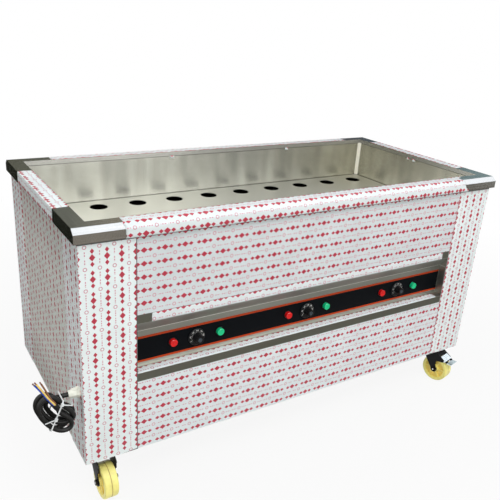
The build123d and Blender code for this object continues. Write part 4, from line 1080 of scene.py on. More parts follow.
def hank_point(turn):
    """Middle of the cable after a number of turns: loose ovals that lie over one another.

    Uneven waves set each oval's radius, straight run, sideways place and layer, so no two turns are alike.
    """
    centre, up, right, front = hank_frame()
    wave, shift_wave = 2.97 * turn, 2.72 * turn
    radius_phase, run_phase, shift_phase, layer_phase = 24.17, 17.88, 32.59, -0.575
    mean_radius, radius_change = 18.5, 5.7
    mean_run, run_change = 35.0, 10.1
    most_shift, layer_change = 17.8, 0.463
    layer_pitch, top_layer = 13.4, 3.05
    radius = mean_radius + radius_change * ripple(wave, radius_phase)
    half_run = mean_run + run_change * ripple(wave, run_phase)
    shift = most_shift * ripple(shift_wave, shift_phase)
    steep_climb, gentle_climb = 0.937 * turn, 1.057 + 0.559 * turn
    layer = min(steep_climb, gentle_climb) + layer_change * ripple(wave, layer_phase)
    layer = min(max(layer, 0.0), top_layer)
    start_turn = 0.25
    angle = 2 * math.pi * (turn + start_turn)
    pointed, blunt = 0.06, 0.18  # third harmonics that turn an ellipse into two runs and two round folds
    along = (half_run + radius) * (math.cos(angle) + pointed * math.cos(3 * angle)) / (1 + pointed)
    across = shift - radius * (math.sin(angle) + blunt * math.sin(3 * angle)) / (1 - blunt)
    return centre + (up * along + right * across + front * (layer * layer_pitch)) * MM


def hank_tail():
    """End of the cable and its direction there."""
    centre, up, right, front = hank_frame()
    lean_right, lean_front = -0.0377, 0.0226
    heading = (up + lean_right * right + lean_front * front).normalized()
    along, across, out = 29.97, 15.4, 40.88
    return centre + (along * up + across * right + out * front) * MM, heading


def tube_curve(name, points, diameter, material):
    """A smooth round cord along its control points."""
    curve = bpy.data.curves.new(name, "CURVE")
    curve.dimensions = "3D"
    spline = curve.splines.new("NURBS")
    spline.points.add(len(points) - 1)
    for control, point in zip(spline.points, points):
        control.co = (*point, 1.0)
    spline.order_u = 3
    spline.use_endpoint_u = True
    spline.resolution_u = 8
    curve.bevel_depth = diameter / 2
    curve.bevel_resolution = 5
    curve.use_fill_caps = True
    curve.materials.append(material)
    return link_object(name, curve)


class STEAMER_OT_supply_cord(bpy.types.Operator):
    """Makes the supply cord that leaves the gland and hangs in a tied hank"""

    bl_idname = "steamer.supply_cord"
    bl_label = "Supply cord"

    def execute(self, context):
        low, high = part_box("gland_dome_nut")
        y, z = (low[1] + high[1]) / 2, (low[2] + high[2]) / 2
        mouth = Vector((low[0], y, z))
        # millimetres along X and Z from the gland's mouth, starting inside it
        lead_places = ((12, 0), (0, 0), (-14, 0), (-26.5, 0), (-44, 0), (-56, -5), (-59.5, -18))
        lead = [mouth + Vector((out, 0, up)) * MM for out, up in lead_places]
        points_per_turn = 20
        steps = round(HANK_TURNS * points_per_turn)
        turns = [hank_point(index / points_per_turn) for index in range(steps + 1)]
        tail, heading = hank_tail()
        straight_end = 14
        points = lead + turns + [tail - heading * straight_end * MM, tail]
        sheath = moulded_plastic(
            "black cable sheath", tuple(colours().rubber), roughness=0.45, grit=1.2, depth=0.05, gloss=0.3
        )
        cord = tube_curve("supply_cord", points, sizes().cable, sheath)
        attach(cord, BODY)
        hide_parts("power_cable", "cable_hank")
        cores = bared_cores(tail, heading)
        nylon = moulded_plastic("natural nylon tie", tuple(colours().nylon), roughness=0.3)
        coat(nylon, "cable_ties")
        return {"FINISHED"}


def strand_bundle():
    """Tree: a bundle of fine copper wires that stand on a disc and lean a little apart."""
    tree = bpy.data.node_groups.new("strand bundle", "GeometryNodeTree")
    for name, kind in (("Bundle radius", "Float"), ("Strand radius", "Float"), ("Length", "Float")):
        tree.interface.new_socket(name, in_out="INPUT", socket_type=f"NodeSocket{kind}")
    tree.interface.new_socket("Copper", in_out="INPUT", socket_type="NodeSocketMaterial")
    tree.interface.new_socket("Geometry", in_out="OUTPUT", socket_type="NodeSocketGeometry")
    given = add(tree, "NodeGroupInput")
    disc = add(
        tree,
        "GeometryNodeMeshCircle",
        {"Vertices": 14, "Radius": given.outputs["Bundle radius"]},
        fill_type="NGON",
    )
    spots = add(
        tree, "GeometryNodeDistributePointsOnFaces", {"Mesh": disc.outputs[0], "Density": 2.6e6, "Seed": 4}
    )
    wire = add(
        tree,
        "GeometryNodeMeshCylinder",
        {
            "Vertices": 6,
            "Side Segments": 1,
            "Radius": given.outputs["Strand radius"],
            "Depth": given.outputs["Length"],
        },
    )
    half = add(tree, "ShaderNodeMath", {0: given.outputs["Length"], 1: 0.5}, operation="MULTIPLY")
    lift = add(tree, "ShaderNodeCombineXYZ", {"Z": half.outputs[0]})
    raised = add(tree, "GeometryNodeTransform", {0: wire.outputs["Mesh"], "Translation": lift.outputs[0]})
    sway, spin = 0.16, 6.0  # radians
    lean = add(
        tree,
        "FunctionNodeRandomValue",
        {"Min": (-sway, -sway, 0.0), "Max": (sway, sway, spin), "Seed": 7},
        data_type="FLOAT_VECTOR",
    )
    stood = add(
        tree,
        "GeometryNodeInstanceOnPoints",
        {"Points": spots.outputs["Points"], "Instance": raised.outputs[0], "Rotation": lean.outputs[0]},
    )
    real = add(tree, "GeometryNodeRealizeInstances", {0: stood.outputs[0]})
    done = add(tree, "GeometryNodeSetMaterial", {0: real.outputs[0], "Material": given.outputs["Copper"]})
    add(tree, "NodeGroupOutput", {0: done.outputs[0]})
    return tree


def realised(name, tree, values):
    """Runs a node tree on an empty mesh and returns the result as a plain mesh."""
    carrier = link_object(name, bpy.data.meshes.new(name))
    modifier = carrier.modifiers.new(name, "NODES")
    modifier.node_group = tree
    for item in tree.interface.items_tree:
        if item.in_out == "INPUT" and item.name in values:
            modifier[item.identifier] = values[item.name]
    context = bpy.context.evaluated_depsgraph_get()
    mesh = bpy.data.meshes.new_from_object(carrier.evaluated_get(context))
    carrier.modifiers.remove(modifier)
    bpy.data.objects.remove(carrier)
    mesh.name = name
    return mesh


def bared_cores(root, heading):
    """The three coloured cores at the cable's end, each with its bare copper strands."""
    paint = colours()
    across = hank_frame()[2]
    across = (across - heading * across.dot(heading)).normalized()
    beside = heading.cross(across)
    bends = ((0.0, 6.0, 1.0), (0.0, 8.0, 4.0), (0.0, 15.0, 10.0))  # degrees off the cable's heading
    lengths = (93.0, 94.0, 84.0)  # millimetres with the bare strands
    bare, off_middle, hidden = 9.0, 2.8, 4
    copper = plated_metal("bare copper strand", tuple(paint.copper), roughness=0.35, spangle=1.5)
    bundle = strand_bundle()
    made = []
    shown = (("blue", paint.core_blue), ("yellow", paint.core_yellow), ("brown", paint.core_brown))
    for index, (hue, tone) in enumerate(shown):
        spot = math.radians(180 - 90 * index)
        start = root + (across * math.cos(spot) - beside * math.sin(spot)) * off_middle * MM
        points = [start - heading * hidden * MM, start]
        run = (lengths[index] - bare) / len(bends[index])
        for bend in bends[index]:
            angle = math.radians(bend)
            points.append(points[-1] + (heading * math.cos(angle) + across * math.sin(angle)) * run * MM)
        sheath = moulded_plastic(f"{hue} core insulation", tuple(tone), roughness=0.35)
        core = tube_curve(f"core_{hue}", points, sizes().core, sheath)
        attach(core, BODY)
        end = (points[-1] - points[-2]).normalized()
        place = Matrix.Translation(points[-1] - end * MM) @ end.to_track_quat("Z", "Y").to_matrix().to_4x4()
        strands = realised(
            f"strands_{hue}",
            bundle,
            {"Bundle radius": 1.3 * MM, "Strand radius": 0.28 * MM, "Length": bare * MM, "Copper": copper},
        )
        strands.transform(place)
        made += [core, dressed(f"strands_{hue}", strands, None)]
    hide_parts("cable_cores")
    return made


class STEAMER_OT_sheet_film(bpy.types.Operator):
    """Puts the printed film on the posts, the ends and the panels"""

    bl_idname = "steamer.sheet_film"
    bl_label = "Film on the sheets"

    def execute(self, context):
        low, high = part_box("corner_post_front_right")
        # Painted shade: the film is drawn dark for 7.5 mm below the rim, for the shadow under the rim's
        # overhang.
        rim_shade_depth = 7.5 * MM
        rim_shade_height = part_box("rim_front")[0][2] - rim_shade_depth
        white = colours().film
        # Painted shade at each post's edge: a wider, darker line on the left posts and a thinner, lighter one
        # on the right, as the light falls.
        for hand, edge_shade_width, edge_shade_tone in (("left", 2.4 * MM, "5A5D5B"), ("right", 1.2 * MM, "9A9C9B")):
            posts = printed_film(
                f"printed film, {hand} posts",
                white,
                upright=True,
                rim_shade_top=rim_shade_height,
                post_edge_shade=(low[0] + edge_shade_width, -high[1]),
                post_foot_shade=low[2],
                edge_shade_tone=edge_shade_tone,
            )
            coat(posts, f"corner_post_front_{hand}", f"corner_post_back_{hand}")
        # The ends take a darker copy of the film: painted shade.
        ends = printed_film("printed film, ends", colours().end_film_shaded, upright=True, rim_shade_top=rim_shade_height)
        coat(ends, "side_panel_left", "side_panel_right")
        panels = printed_film("printed film, panels", colours().panel_film, rim_shade_top=rim_shade_height)
        coat(panels, "front_lower_panel", "back_panel")
        # The upper panel takes a darker copy of the film: painted shade.
        upper = printed_film("printed film, upper panel", colours().upper_film_shaded, rim_shade_top=rim_shade_height)
        coat(upper, "front_upper_panel")
        return {"FINISHED"}


def rounded(corners, radius, steps=4):
    """The corners of an open outline with each inner corner rounded off."""
    points = [corners[0]]
    for before, corner, after in zip(corners, corners[1:], corners[2:]):
        start = corner + (before - corner).normalized() * radius
        end = corner + (after - corner).normalized() * radius
        for index in range(steps + 1):
            t = index / steps
            points.append(start * (1 - t) ** 2 + corner * 2 * t * (1 - t) + end * t**2)
    points.append(corners[-1])
    return points


def spaced(points, step):
    """Points along an outline, no further apart than a step, and their distance from its start."""
    out, gone = [(points[0], 0.0)], 0.0
    for a, b in zip(points, points[1:]):
        length = (b - a).length
        count = max(1, math.ceil(length / step))
        for index in range(1, count + 1):
            out.append((a.lerp(b, index / count), gone + length * index / count))
        gone += length
    return out


def over_front(along, across, up):
    """Place of a spot on a strip that runs along the front."""
    return along, -across, up


def over_back(along, across, up):
    """Place of a spot on a strip that runs along the back."""
    return along, across, up


def over_left(along, across, up):
    """Place of a spot on a strip that runs along the left end."""
    return -across, along, up


def over_right(along, across, up):
    """Place of a spot on a strip that runs along the right end."""
    return across, along, up


def film_strip(
    name, outline, start, end, carry, phase, tear=3.0, droop=1.2, puff=0.0, step=8.0, cut=(), film="strips"
):
    """A loose strip of film laid over an outline, from one end to the other, all in millimetres.

    outline holds points across the strip, carry turns (along, across, up) into a place. The two ends are
    torn unevenly, the last edge hangs a little, and the far end may stand puffed off the steel. cut holds
    pairs of a distance across the strip and how much further the far end reaches there. film names its
    material.
    """
    row_step, fade = 6.0, 45.0
    start_tooth, end_tooth, hang_wave = 9, 11, 31
    end_phase = phase + 1.7
    rows = spaced(outline, row_step)
    total = rows[-1][1]
    columns = math.ceil((end - start) / step)
    mesh = bpy.data.meshes.new(name)
    shape = bmesh.new()
    layer = shape.loops.layers.uv.new("film")
    grid = []
    for index in range(columns + 1):
        along = start + (end - start) * index / columns
        near_start = max(0.0, 1 - (along - start) / fade)
        near_end = max(0.0, 1 - (end - along) / fade)
        line = []
        for row, (point, gone) in enumerate(rows):
            start_tear = near_start * ripple(gone / start_tooth, phase)
            end_tear = near_end * ripple(gone / end_tooth, end_phase)
            shift = tear * (start_tear - end_tear)
            for (low, less), (high, more) in zip(cut, cut[1:]):
                if low <= gone < high:
                    shift += near_end * (less + (more - less) * (gone - low) / (high - low))
            before, after = rows[max(0, row - 1)][0], rows[min(len(rows) - 1, row + 1)][0]
            tangent = (after - before).normalized()
            outward = Vector((tangent.y, -tangent.x))
            lift = puff * near_end**2 * math.sin(math.pi * min(1.0, gone / total))
            hang = 0.0
            if row == len(rows) - 1:
                hang = droop * (0.6 + 0.4 * ripple(along / hang_wave, phase))
            spot = point + outward * lift + tangent * hang
            vert = shape.verts.new(Vector(carry(along + shift, spot.x, spot.y)) * MM)
            line.append((vert, (along + shift, gone)))
        grid.append(line)
    for left, right in zip(grid, grid[1:]):
        for a, b, c, d in zip(left, right, right[1:], left[1:]):
            face = shape.faces.new([corner[0] for corner in (a, b, c, d)])
            face.smooth = True
            for loop, corner in zip(face.loops, (a, b, c, d)):
                loop[layer].uv = (corner[1][0] * MM, corner[1][1] * MM)
    shape.normal_update()
    middle = rows[len(rows) // 2][0]
    outside = Vector(carry(0, middle.x + 1, middle.y + 1)) - Vector(carry(0, middle.x, middle.y))
    if sum(face.normal.dot(outside) for face in shape.faces) < 0:
        bmesh.ops.reverse_faces(shape, faces=shape.faces)
    shape.to_mesh(mesh)
    shape.free()
    made = dressed(name, mesh, bpy.data.materials[f"printed film, {film}"])
    wall = made.modifiers.new("thickness", "SOLIDIFY")
    wall.thickness = sizes().film_sheet
    wall.offset = 1.0


class STEAMER_OT_rim_film(bpy.types.Operator):
    """Lays the printed film over the four rails of the rim, between their bare corners"""

    bl_idname = "steamer.rim_film"
    bl_label = "Film on the rim"

    def execute(self, context):
        cut = sizes()
        printed_film("printed film, strips", colours().strip_film, strip=True)
        # The end strips are a brighter copy of the strip film: painted light.
        printed_film("printed film, end strips", colours().end_strip_lit, strip=True)
        lift = cut.film_lift / MM
        low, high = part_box("rim_front")
        outer, under, top = -low[1] / MM, low[2] / MM, high[2] / MM
        rail_flat, bevel_run, bevel_drop, inset = 37.0, 15.0, 13.0, 0.5
        corner_lift = 0.4 * lift
        bevelled = [
            Vector((outer - bevel_run - rail_flat + inset, top + lift)),
            Vector((outer - bevel_run + corner_lift, top + lift)),
            Vector((outer + lift, top - bevel_drop + corner_lift)),
            Vector((outer + lift, under)),
        ]
        bevelled = rounded(bevelled, radius=2.5)
        side_outer, side_flat = -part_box("rim_left")[0][0] / MM, 44.0
        plain = [
            Vector((side_outer - side_flat + inset, top + lift)),
            Vector((side_outer + lift, top + lift)),
            Vector((side_outer + lift, under)),
        ]
        plain = rounded(plain, radius=2.0)
        film_strip(
            "rim_film_front",
            bevelled,
            cut.front_film_left / MM,
            cut.front_film_right / MM,
            over_front,
            phase=0.4,
            puff=3.0,
            cut=((0, 8), (36, 8), (46, 20), (57, 10), (81, 0)),
        )
        film_strip(
            "rim_film_back",
            bevelled,
            cut.back_film_left / MM,
            cut.back_film_right / MM,
            over_back,
            phase=2.2,
        )
        film_strip(
            "rim_film_left",
            plain,
            cut.left_film_front / MM,
            cut.left_film_back / MM,
            over_left,
            phase=1.1,
            film="end strips",
        )
        film_strip(
            "rim_film_right",
            plain,
            cut.right_film_front / MM,
            cut.right_film_back / MM,
            over_right,
            phase=3.6,
        )
        walls = {
            "back": (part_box("rim_back")[0][1] / MM - lift, over_back),
            "right": (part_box("rim_right")[0][0] / MM - lift, over_right),
        }
        lip_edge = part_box("corner_seals")[1][2] / MM
        scraps = (("back", -189, 16, 8), ("back", 317, 14, 7), ("right", 19, 11, 6), ("right", -9, 13, 8))
        for number, (wall, middle, length, drop) in enumerate(scraps, 1):
            face, carry = walls[wall]
            film_strip(
                f"rim_film_scrap_{number}",
                [Vector((face, lip_edge + 1.0)), Vector((face, lip_edge - drop))],
                middle - length / 2,
                middle + length / 2,
                carry,
                phase=number,
                tear=2.0,
                step=3.0,
            )
        return {"FINISHED"}


class STEAMER_OT_recess_film(bpy.types.Operator):
    """Lays the film strips over the lip and the ledge of the control recess"""

    bl_idname = "steamer.recess_film"
    bl_label = "Film in the recess"

    def execute(self, context):
        cut = sizes()
        lift = cut.film_lift / MM
        low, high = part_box("control_recess")
        front, top, bottom = -low[1] / MM, high[2] / MM, low[2] / MM
        lip, inset = 25.0, 0.5
        ledge = bottom + lip
        lip_outline = [Vector((front + lift, top - inset)), Vector((front + lift, top - lip - inset))]
        film_strip(
            "recess_film_lip",
            lip_outline,
            cut.lip_film_left / MM,
            cut.lip_film_right / MM,
            over_front,
            phase=0.9,
            tear=1.5,
            droop=0.6,
        )
        depth = cut.ledge_film_depth / MM
        ledge_outline = [Vector((front - depth, ledge + lift)), Vector((front - inset, ledge + lift))]
        post_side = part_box("corner_post_front_left")[1][0] / MM
        film_strip(
            "recess_film_ledge",
            ledge_outline,
            post_side + 1.0,
            cut.ledge_film_right / MM,
            over_front,
            phase=2.7,
            tear=1.5,
            droop=0.4,
            film="end strips",
        )
        return {"FINISHED"}


class STEAMER_OT_bare_steel(bpy.types.Operator):
    """Finishes the rim, the recess, the base and the steam well as brushed steel"""

    bl_idname = "steamer.bare_steel"
    bl_label = "Bare steel"

    def execute(self, context):
        paint = colours()
        rim = tuple(paint.rim_steel)
        proud, lip_roughness, lip_smear = 0.5 * MM, 0.27, 0.9
        long_lip = ("Y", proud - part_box("rim_front")[1][1], lip_roughness, lip_smear)
        end_lip = ("X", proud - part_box("rim_left")[1][0], lip_roughness, lip_smear)
        lip_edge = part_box("corner_seals")[1][2]
        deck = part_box("steam_plate")[0][2]
        shade_height = 2.0 * MM
        shade_line = (lip_edge - shade_height, lip_edge, "4E4C44")
        scale_and_shade = (0.0, deck, "3E3A35")  # painted shade: the tank under the plate is drawn near black, for the shade that fills it
        for way, grain, inner_lip, rails in (
            ("along", "X", long_lip, ("rim_front", "rim_back")),
            ("across", "Y", end_lip, ("rim_left", "rim_right")),
        ):
            polished = brushed_stainless(
                f"polished rim, {way} the cart", rim, roughness=0.2, grain=grain, inside=inner_lip
            )
            coat(polished, *rails)
        # The recess sheet's bands are painted light and shade: a painted highlight along the fold above the
        # label, the upper and lower lips painted darker and the ledge painted lighter, for the reflections
        # those faces show.
        above_label, half_highlight = 18.0 * MM, 0.7 * MM
        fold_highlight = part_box("control_label")[1][2] + above_label
        (low, high), lip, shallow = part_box("control_recess"), 25.0 * MM, 0.5 * MM
        ledge = low[2] + lip
        recess = brushed_stainless(
            "folded recess sheet",
            tuple(paint.recess_steel),
            roughness=0.42,
            grain="X",
            contrast=0.8,
            bands=(
                (fold_highlight - half_highlight, fold_highlight + half_highlight, "F6F7F4"),
                (low[2], ledge - shallow, "7F8076"),
                (ledge - shallow, ledge + shallow, "C2C1B9"),
                (high[2] - lip, high[2], "7F8076"),
            ),
        )
        coat(recess, "control_recess")
        plain = brushed_stainless(
            "plain base sheet", tuple(paint.recess_steel), roughness=0.42, grain="X", contrast=0.8
        )
        coat(plain, "base_panel", "base_rails")
        well = tuple(paint.well_steel)
        wall = brushed_stainless(
            "brushed well wall",
            well,
            roughness=0.25,
            grain="XY",
            contrast=0.3,
            smear=0.9,
            bands=(shade_line, scale_and_shade),
            warm=linear("CBC9BC"),
        )
        coat(wall, "tank", "plate_supports")
        plate = brushed_stainless("brushed steam plate", well, roughness=0.34, grain="X", contrast=0.2)
        coat(plate, "steam_plate")
        sealant = moulded_plastic("silicone sealant", tuple(paint.seal), roughness=0.5, grit=3.0, depth=0.2)
        coat(sealant, "corner_seals")
        dull = plated_metal("dull heater sheath", linear("5C5853"), roughness=0.42)
        coat(dull, "heating_elements")
        return {"FINISHED"}


def tick_ring():
    """Tree: ticks on an arc, each one pointing at its middle."""
    tree = bpy.data.node_groups.new("tick ring", "GeometryNodeTree")
    for name in ("Radius", "First angle", "Sweep", "Tick length", "Tick width", "Tick height"):
        tree.interface.new_socket(name, in_out="INPUT", socket_type="NodeSocketFloat")
    tree.interface.new_socket("Count", in_out="INPUT", socket_type="NodeSocketInt")
    tree.interface.new_socket("Ink", in_out="INPUT", socket_type="NodeSocketMaterial")
    tree.interface.new_socket("Geometry", in_out="OUTPUT", socket_type="NodeSocketGeometry")
    given = add(tree, "NodeGroupInput")
    arc = add(
        tree,
        "GeometryNodeCurveArc",
        {
            "Resolution": given.outputs["Count"],
            "Radius": given.outputs["Radius"],
            "Start Angle": given.outputs["First angle"],
            "Sweep Angle": given.outputs["Sweep"],
        },
    )
    spots = add(tree, "GeometryNodeCurveToPoints", {0: arc.outputs["Curve"]}, mode="EVALUATED")
    bar_size = add(
        tree,
        "ShaderNodeCombineXYZ",
        {
            "X": given.outputs["Tick length"],
            "Y": given.outputs["Tick width"],
            "Z": given.outputs["Tick height"],
        },
    )
    bar = add(tree, "GeometryNodeMeshCube", {"Size": bar_size.outputs[0]})
    where = add(tree, "GeometryNodeInputPosition")
    turned = add(tree, "FunctionNodeAlignRotationToVector", {"Vector": where.outputs[0]}, axis="X")
    placed = add(
        tree,
        "GeometryNodeInstanceOnPoints",
        {"Points": spots.outputs[0], "Instance": bar.outputs["Mesh"], "Rotation": turned.outputs[0]},
    )
    real = add(tree, "GeometryNodeRealizeInstances", {0: placed.outputs[0]})
    done = add(tree, "GeometryNodeSetMaterial", {0: real.outputs[0], "Material": given.outputs["Ink"]})
    add(tree, "NodeGroupOutput", {0: done.outputs[0]})
    return tree


def numeral_mesh(text, height):
    """A number as a flat mesh, middle at the origin."""
    letters = bpy.data.curves.new("numeral", "FONT")
    letters.body = text
    size_to_height = 1.4
    letters.size = height * size_to_height
    letters.align_x = "CENTER"
    letters.align_y = "CENTER"
    letters.extrude = 0.05 * MM
    carrier = link_object("numeral", letters)
    context = bpy.context.evaluated_depsgraph_get()
    mesh = bpy.data.meshes.new_from_object(carrier.evaluated_get(context))
    bpy.data.objects.remove(carrier)
    return mesh


def lathe(name, outline, steps):
    """A round solid from its outline of (radius, height) points, turned about Z."""
    shape = bmesh.new()
    rings = []
    for radius, height in outline:
        if radius == 0:
            rings.append([shape.verts.new((0, 0, height))] * steps)
        else:
            rings.append(
                [
                    shape.verts.new(
                        (
                            radius * math.cos(2 * math.pi * index / steps),
                            radius * math.sin(2 * math.pi * index / steps),
                            height,
                        )
                    )
                    for index in range(steps)
                ]
            )
    for low, high in zip(rings, rings[1:]):
        for index in range(steps):
            after = (index + 1) % steps
            corners = dict.fromkeys((low[index], low[after], high[after], high[index]))
            shape.faces.new(list(corners)).smooth = True
    bmesh.ops.recalc_face_normals(shape, faces=shape.faces)
    mesh = bpy.data.meshes.new(name)
    shape.to_mesh(mesh)
    shape.free()
    return mesh


class STEAMER_OT_controls(bpy.types.Operator):
    """Finishes the label, lamps and knobs, and prints the dial on each knob"""

    bl_idname = "steamer.controls"
    bl_label = "Controls"

    def execute(self, context):
        paint, cut = colours(), sizes()
        coat(control_label_print(), "control_label")
        coat(lamp_lens("red polycarbonate lens", tuple(paint.red_lamp)), "red_lenses")
        coat(lamp_lens("green polycarbonate lens", tuple(paint.green_lamp)), "green_lenses")
        black = moulded_plastic(
            "black phenolic moulding", tuple(paint.black_moulding), roughness=0.28, grit=0.8, gloss=0.3
        )
        coat(black, "lamp_bodies", "thermostats", *(f"knob_{hand}" for hand in HANDS))
        ink = moulded_plastic("white dial print", tuple(paint.dial_mark), roughness=0.5)
        # The knob cap is a satin metal disc in each knob's end; its pale blue-grey is partly a painted
        # highlight, for the glint on the knob's end.
        cap_glint_finish = plated_metal("satin knob cap", linear("6A7681"), roughness=0.3)
        ring = tick_ring()
        skirt_height, mark_radius, tick_radius = 4.0 * MM, 20.9 * MM, 16.2 * MM
        print_lift, cap_depth = 0.05 * MM, 1.2 * MM
        number_count, number_step, first_degrees, step_degrees = 7, 50, 210, 40
        cap_places = (
            (0, 0.1), (6.3, 0.1), (6.3, 0.8), (5.7, 1.1), (0, 0.8)
        )  # radius and height, millimetres
        cap_outline = [(radius * MM, height * MM) for radius, height in cap_places]
        to_front = Matrix.Rotation(math.radians(90), 4, "X")
        for hand in HANDS:
            low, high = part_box(f"knob_{hand}")
            centre = Vector(joint(f"thermostat_{hand}")["pos_m"])
            face = Matrix.Translation((centre.x, high[1] - skirt_height - print_lift, centre.z)) @ to_front
            marks = bmesh.new()
            ticks = realised(
                "ticks",
                ring,
                {
                    "Radius": tick_radius,
                    "First angle": math.radians(-30),
                    "Sweep": math.radians(240),
                    "Count": 25,
                    "Tick length": cut.tick,
                    "Tick width": 0.5 * MM,
                    "Tick height": 0.1 * MM,
                    "Ink": ink,
                },
            )
            marks.from_mesh(ticks)
            for index in range(number_count):
                turn = math.radians(first_degrees - step_degrees * index)
                number = numeral_mesh(str(number_step * index), cut.numeral)
                upright = Matrix.Translation((0, mark_radius, 0))
                number.transform(Matrix.Rotation(turn - math.pi / 2, 4, "Z") @ upright)
                marks.from_mesh(number)
            mesh = bpy.data.meshes.new(f"dial_marks_{hand}")
            marks.to_mesh(mesh)
            marks.free()
            mesh.transform(face)
            dressed(f"dial_marks_{hand}", mesh, ink, f"knob_{hand}")
            cap = lathe(f"knob_cap_{hand}", cap_outline, steps=32)
            cap.transform(Matrix.Translation((centre.x, low[1] + cap_depth, centre.z)) @ to_front)
            dressed(f"knob_cap_{hand}", cap, cap_glint_finish, f"knob_{hand}")
        return {"FINISHED"}


class STEAMER_OT_casters(bpy.types.Operator):
    """Finishes the wheels, forks, axles, pedals and bolts of the casters"""

    bl_idname = "steamer.casters"
    bl_label = "Casters"

    def execute(self, context):
        paint = colours()
        enamel = moulded_plastic(
            "black stoved enamel", tuple(paint.enamel), roughness=0.4, grit=2.0, depth=0.05, gloss=0.15
        )
        zinc = plated_metal("bright zinc plate", tuple(paint.zinc), roughness=0.3)
        # Painted shade: the chrome is drawn dark over a band across each pedal's slot.
        slot_start, slot_end = 79.0 * MM, 86.0 * MM
        for place in CORNERS:
            coat(enamel, f"fork_{place}")
            coat(blackened_axle(place), f"axle_{place}")
            coat(cream_nylon(place), f"wheel_{place}")
        coat(enamel, "caster_plates")
        coat(zinc, "caster_bolts")
        for place in ("front_right", "back_right"):
            pivot, hub = Vector(joint(f"swivel_{place}")["pos_m"]), Vector(joint(f"wheel_{place}")["pos_m"])
            trail = Vector((hub.x - pivot.x, hub.y - pivot.y, 0.0)).normalized()
            chrome = plated_metal(
                f"bright chrome plate {place}",
                tuple(paint.chrome),
                roughness=0.22,
                spangle=9.0,
                slot=(tuple(pivot), tuple(trail), slot_start, slot_end),
            )
            coat(chrome, f"brake_pedal_{place}")
        return {"FINISHED"}


class STEAMER_OT_fittings(bpy.types.Operator):
    """Finishes the cable gland, the terminal block, the drain and the small fixings"""

    bl_idname = "steamer.fittings"
    bl_label = "Fittings"

    def execute(self, context):
        paint = colours()
        ivory = moulded_plastic("ivory polyamide moulding", tuple(paint.ivory), roughness=0.4)
        coat(ivory, "gland_body", "gland_dome_nut", "gland_locknut", "terminal_block")
        coat(plated_metal("drawn brass", tuple(paint.brass), roughness=0.3), "drain_valve")
        coat(moulded_plastic("dipped vinyl grip", tuple(paint.lever), roughness=0.35), "drain_lever")
        zinc = bpy.data.materials["bright zinc plate"]
        coat(zinc, "element_nuts", *(f"thermostat_shaft_{hand}" for hand in HANDS))
        return {"FINISHED"}


def tack_row():
    """Tree: a row of flattened weld tacks, one above the other."""
    tree = bpy.data.node_groups.new("tack row", "GeometryNodeTree")
    for name in ("Size", "Spacing", "Side", "Face", "Lowest"):
        tree.interface.new_socket(name, in_out="INPUT", socket_type="NodeSocketFloat")
    tree.interface.new_socket("Count", in_out="INPUT", socket_type="NodeSocketInt")
    tree.interface.new_socket("Scale", in_out="INPUT", socket_type="NodeSocketMaterial")
    tree.interface.new_socket("Geometry", in_out="OUTPUT", socket_type="NodeSocketGeometry")
    given = add(tree, "NodeGroupInput")
    first = add(
        tree,
        "ShaderNodeCombineXYZ",
        {"X": given.outputs["Side"], "Y": given.outputs["Face"], "Z": given.outputs["Lowest"]},
    )
    rise = add(tree, "ShaderNodeCombineXYZ", {"Z": given.outputs["Spacing"]})
    row = add(
        tree,
        "GeometryNodeMeshLine",
        {"Count": given.outputs["Count"], "Start Location": first.outputs[0], "Offset": rise.outputs[0]},
    )
    half = add(tree, "ShaderNodeMath", {0: given.outputs["Size"], 1: 0.5}, operation="MULTIPLY")
    blob = add(tree, "GeometryNodeMeshIcoSphere", {"Radius": half.outputs[0], "Subdivisions": 2})
    squash = add(
        tree,
        "FunctionNodeRandomValue",
        {"Min": (0.8, 0.35, 0.45), "Max": (1.2, 0.5, 0.8), "Seed": 5},
        data_type="FLOAT_VECTOR",
    )
    placed = add(
        tree,
        "GeometryNodeInstanceOnPoints",
        {"Points": row.outputs["Mesh"], "Instance": blob.outputs["Mesh"], "Scale": squash.outputs[0]},
    )
    real = add(tree, "GeometryNodeRealizeInstances", {0: placed.outputs[0]})
    done = add(tree, "GeometryNodeSetMaterial", {0: real.outputs[0], "Material": given.outputs["Scale"]})
    add(tree, "NodeGroupOutput", {0: done.outputs[0]})
    return tree


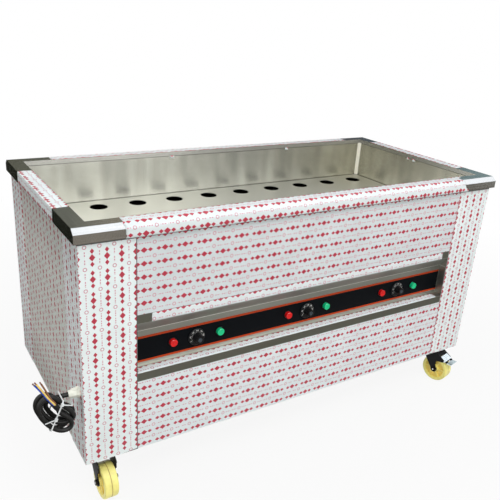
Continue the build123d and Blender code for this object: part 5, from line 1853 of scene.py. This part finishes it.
class STEAMER_OT_tacks(bpy.types.Operator):
    """Adds the small weld tacks that hold the recess to the corner posts"""

    bl_idname = "steamer.tacks"
    bl_label = "Weld tacks"

    def execute(self, context):
        # The weld tacks are drawn near black: their weld scale, and partly painted shade for the shadows of
        # the tabs.
        scale = plated_metal("scaled weld tack", linear("2E2B28"), roughness=0.6, spangle=1.0)
        tree = tack_row()
        for hand in ("left", "right"):
            low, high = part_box(f"corner_post_front_{hand}")
            side = high[0] if hand == "left" else low[0]
            values = {
                "Size": sizes().tack,
                "Spacing": 33 * MM,
                "Side": side,
                "Face": low[1] + 0.8 * MM,
                "Lowest": 398 * MM,
                "Count": 4,
                "Scale": scale,
            }
            dressed(f"weld_tacks_{hand}", realised(f"weld_tacks_{hand}", tree, values), None)
        return {"FINISHED"}


class STEAMER_PT_panel(bpy.types.Panel):
    """Lists the sizes, the colours and the steps of the cart's dressing"""

    bl_idname = "STEAMER_PT_panel"
    bl_label = "Steamer cart"
    bl_space_type = "VIEW_3D"
    bl_region_type = "UI"
    bl_category = "Steamer cart"

    def draw(self, context):
        for step in STEPS:
            self.layout.operator(step.bl_idname)
        for group in (context.scene.cart_sizes, context.scene.cart_colours):
            for name in group.bl_rna.properties.keys():
                if name not in ("rna_type", "name"):
                    self.layout.prop(group, name)


STEPS = (
    STEAMER_OT_stage,
    STEAMER_OT_supply_cord,
    STEAMER_OT_sheet_film,
    STEAMER_OT_rim_film,
    STEAMER_OT_recess_film,
    STEAMER_OT_bare_steel,
    STEAMER_OT_controls,
    STEAMER_OT_casters,
    STEAMER_OT_fittings,
    STEAMER_OT_tacks,
)
CLASSES = (CartColours, CartSizes, *STEPS, STEAMER_PT_panel)


def register():
    for kind in CLASSES:
        bpy.utils.register_class(kind)
    bpy.types.Scene.cart_colours = bpy.props.PointerProperty(type=CartColours)
    bpy.types.Scene.cart_sizes = bpy.props.PointerProperty(type=CartSizes)


def unregister():
    del bpy.types.Scene.cart_sizes
    del bpy.types.Scene.cart_colours
    for kind in reversed(CLASSES):
        bpy.utils.unregister_class(kind)


def main():
    register()
    bpy.ops.steamer.stage()
    bpy.ops.steamer.supply_cord()
    bpy.ops.steamer.sheet_film()
    bpy.ops.steamer.rim_film()
    bpy.ops.steamer.recess_film()
    bpy.ops.steamer.bare_steel()
    bpy.ops.steamer.controls()
    bpy.ops.steamer.casters()
    bpy.ops.steamer.fittings()
    bpy.ops.steamer.tacks()


if __name__ == "__main__":
    main()
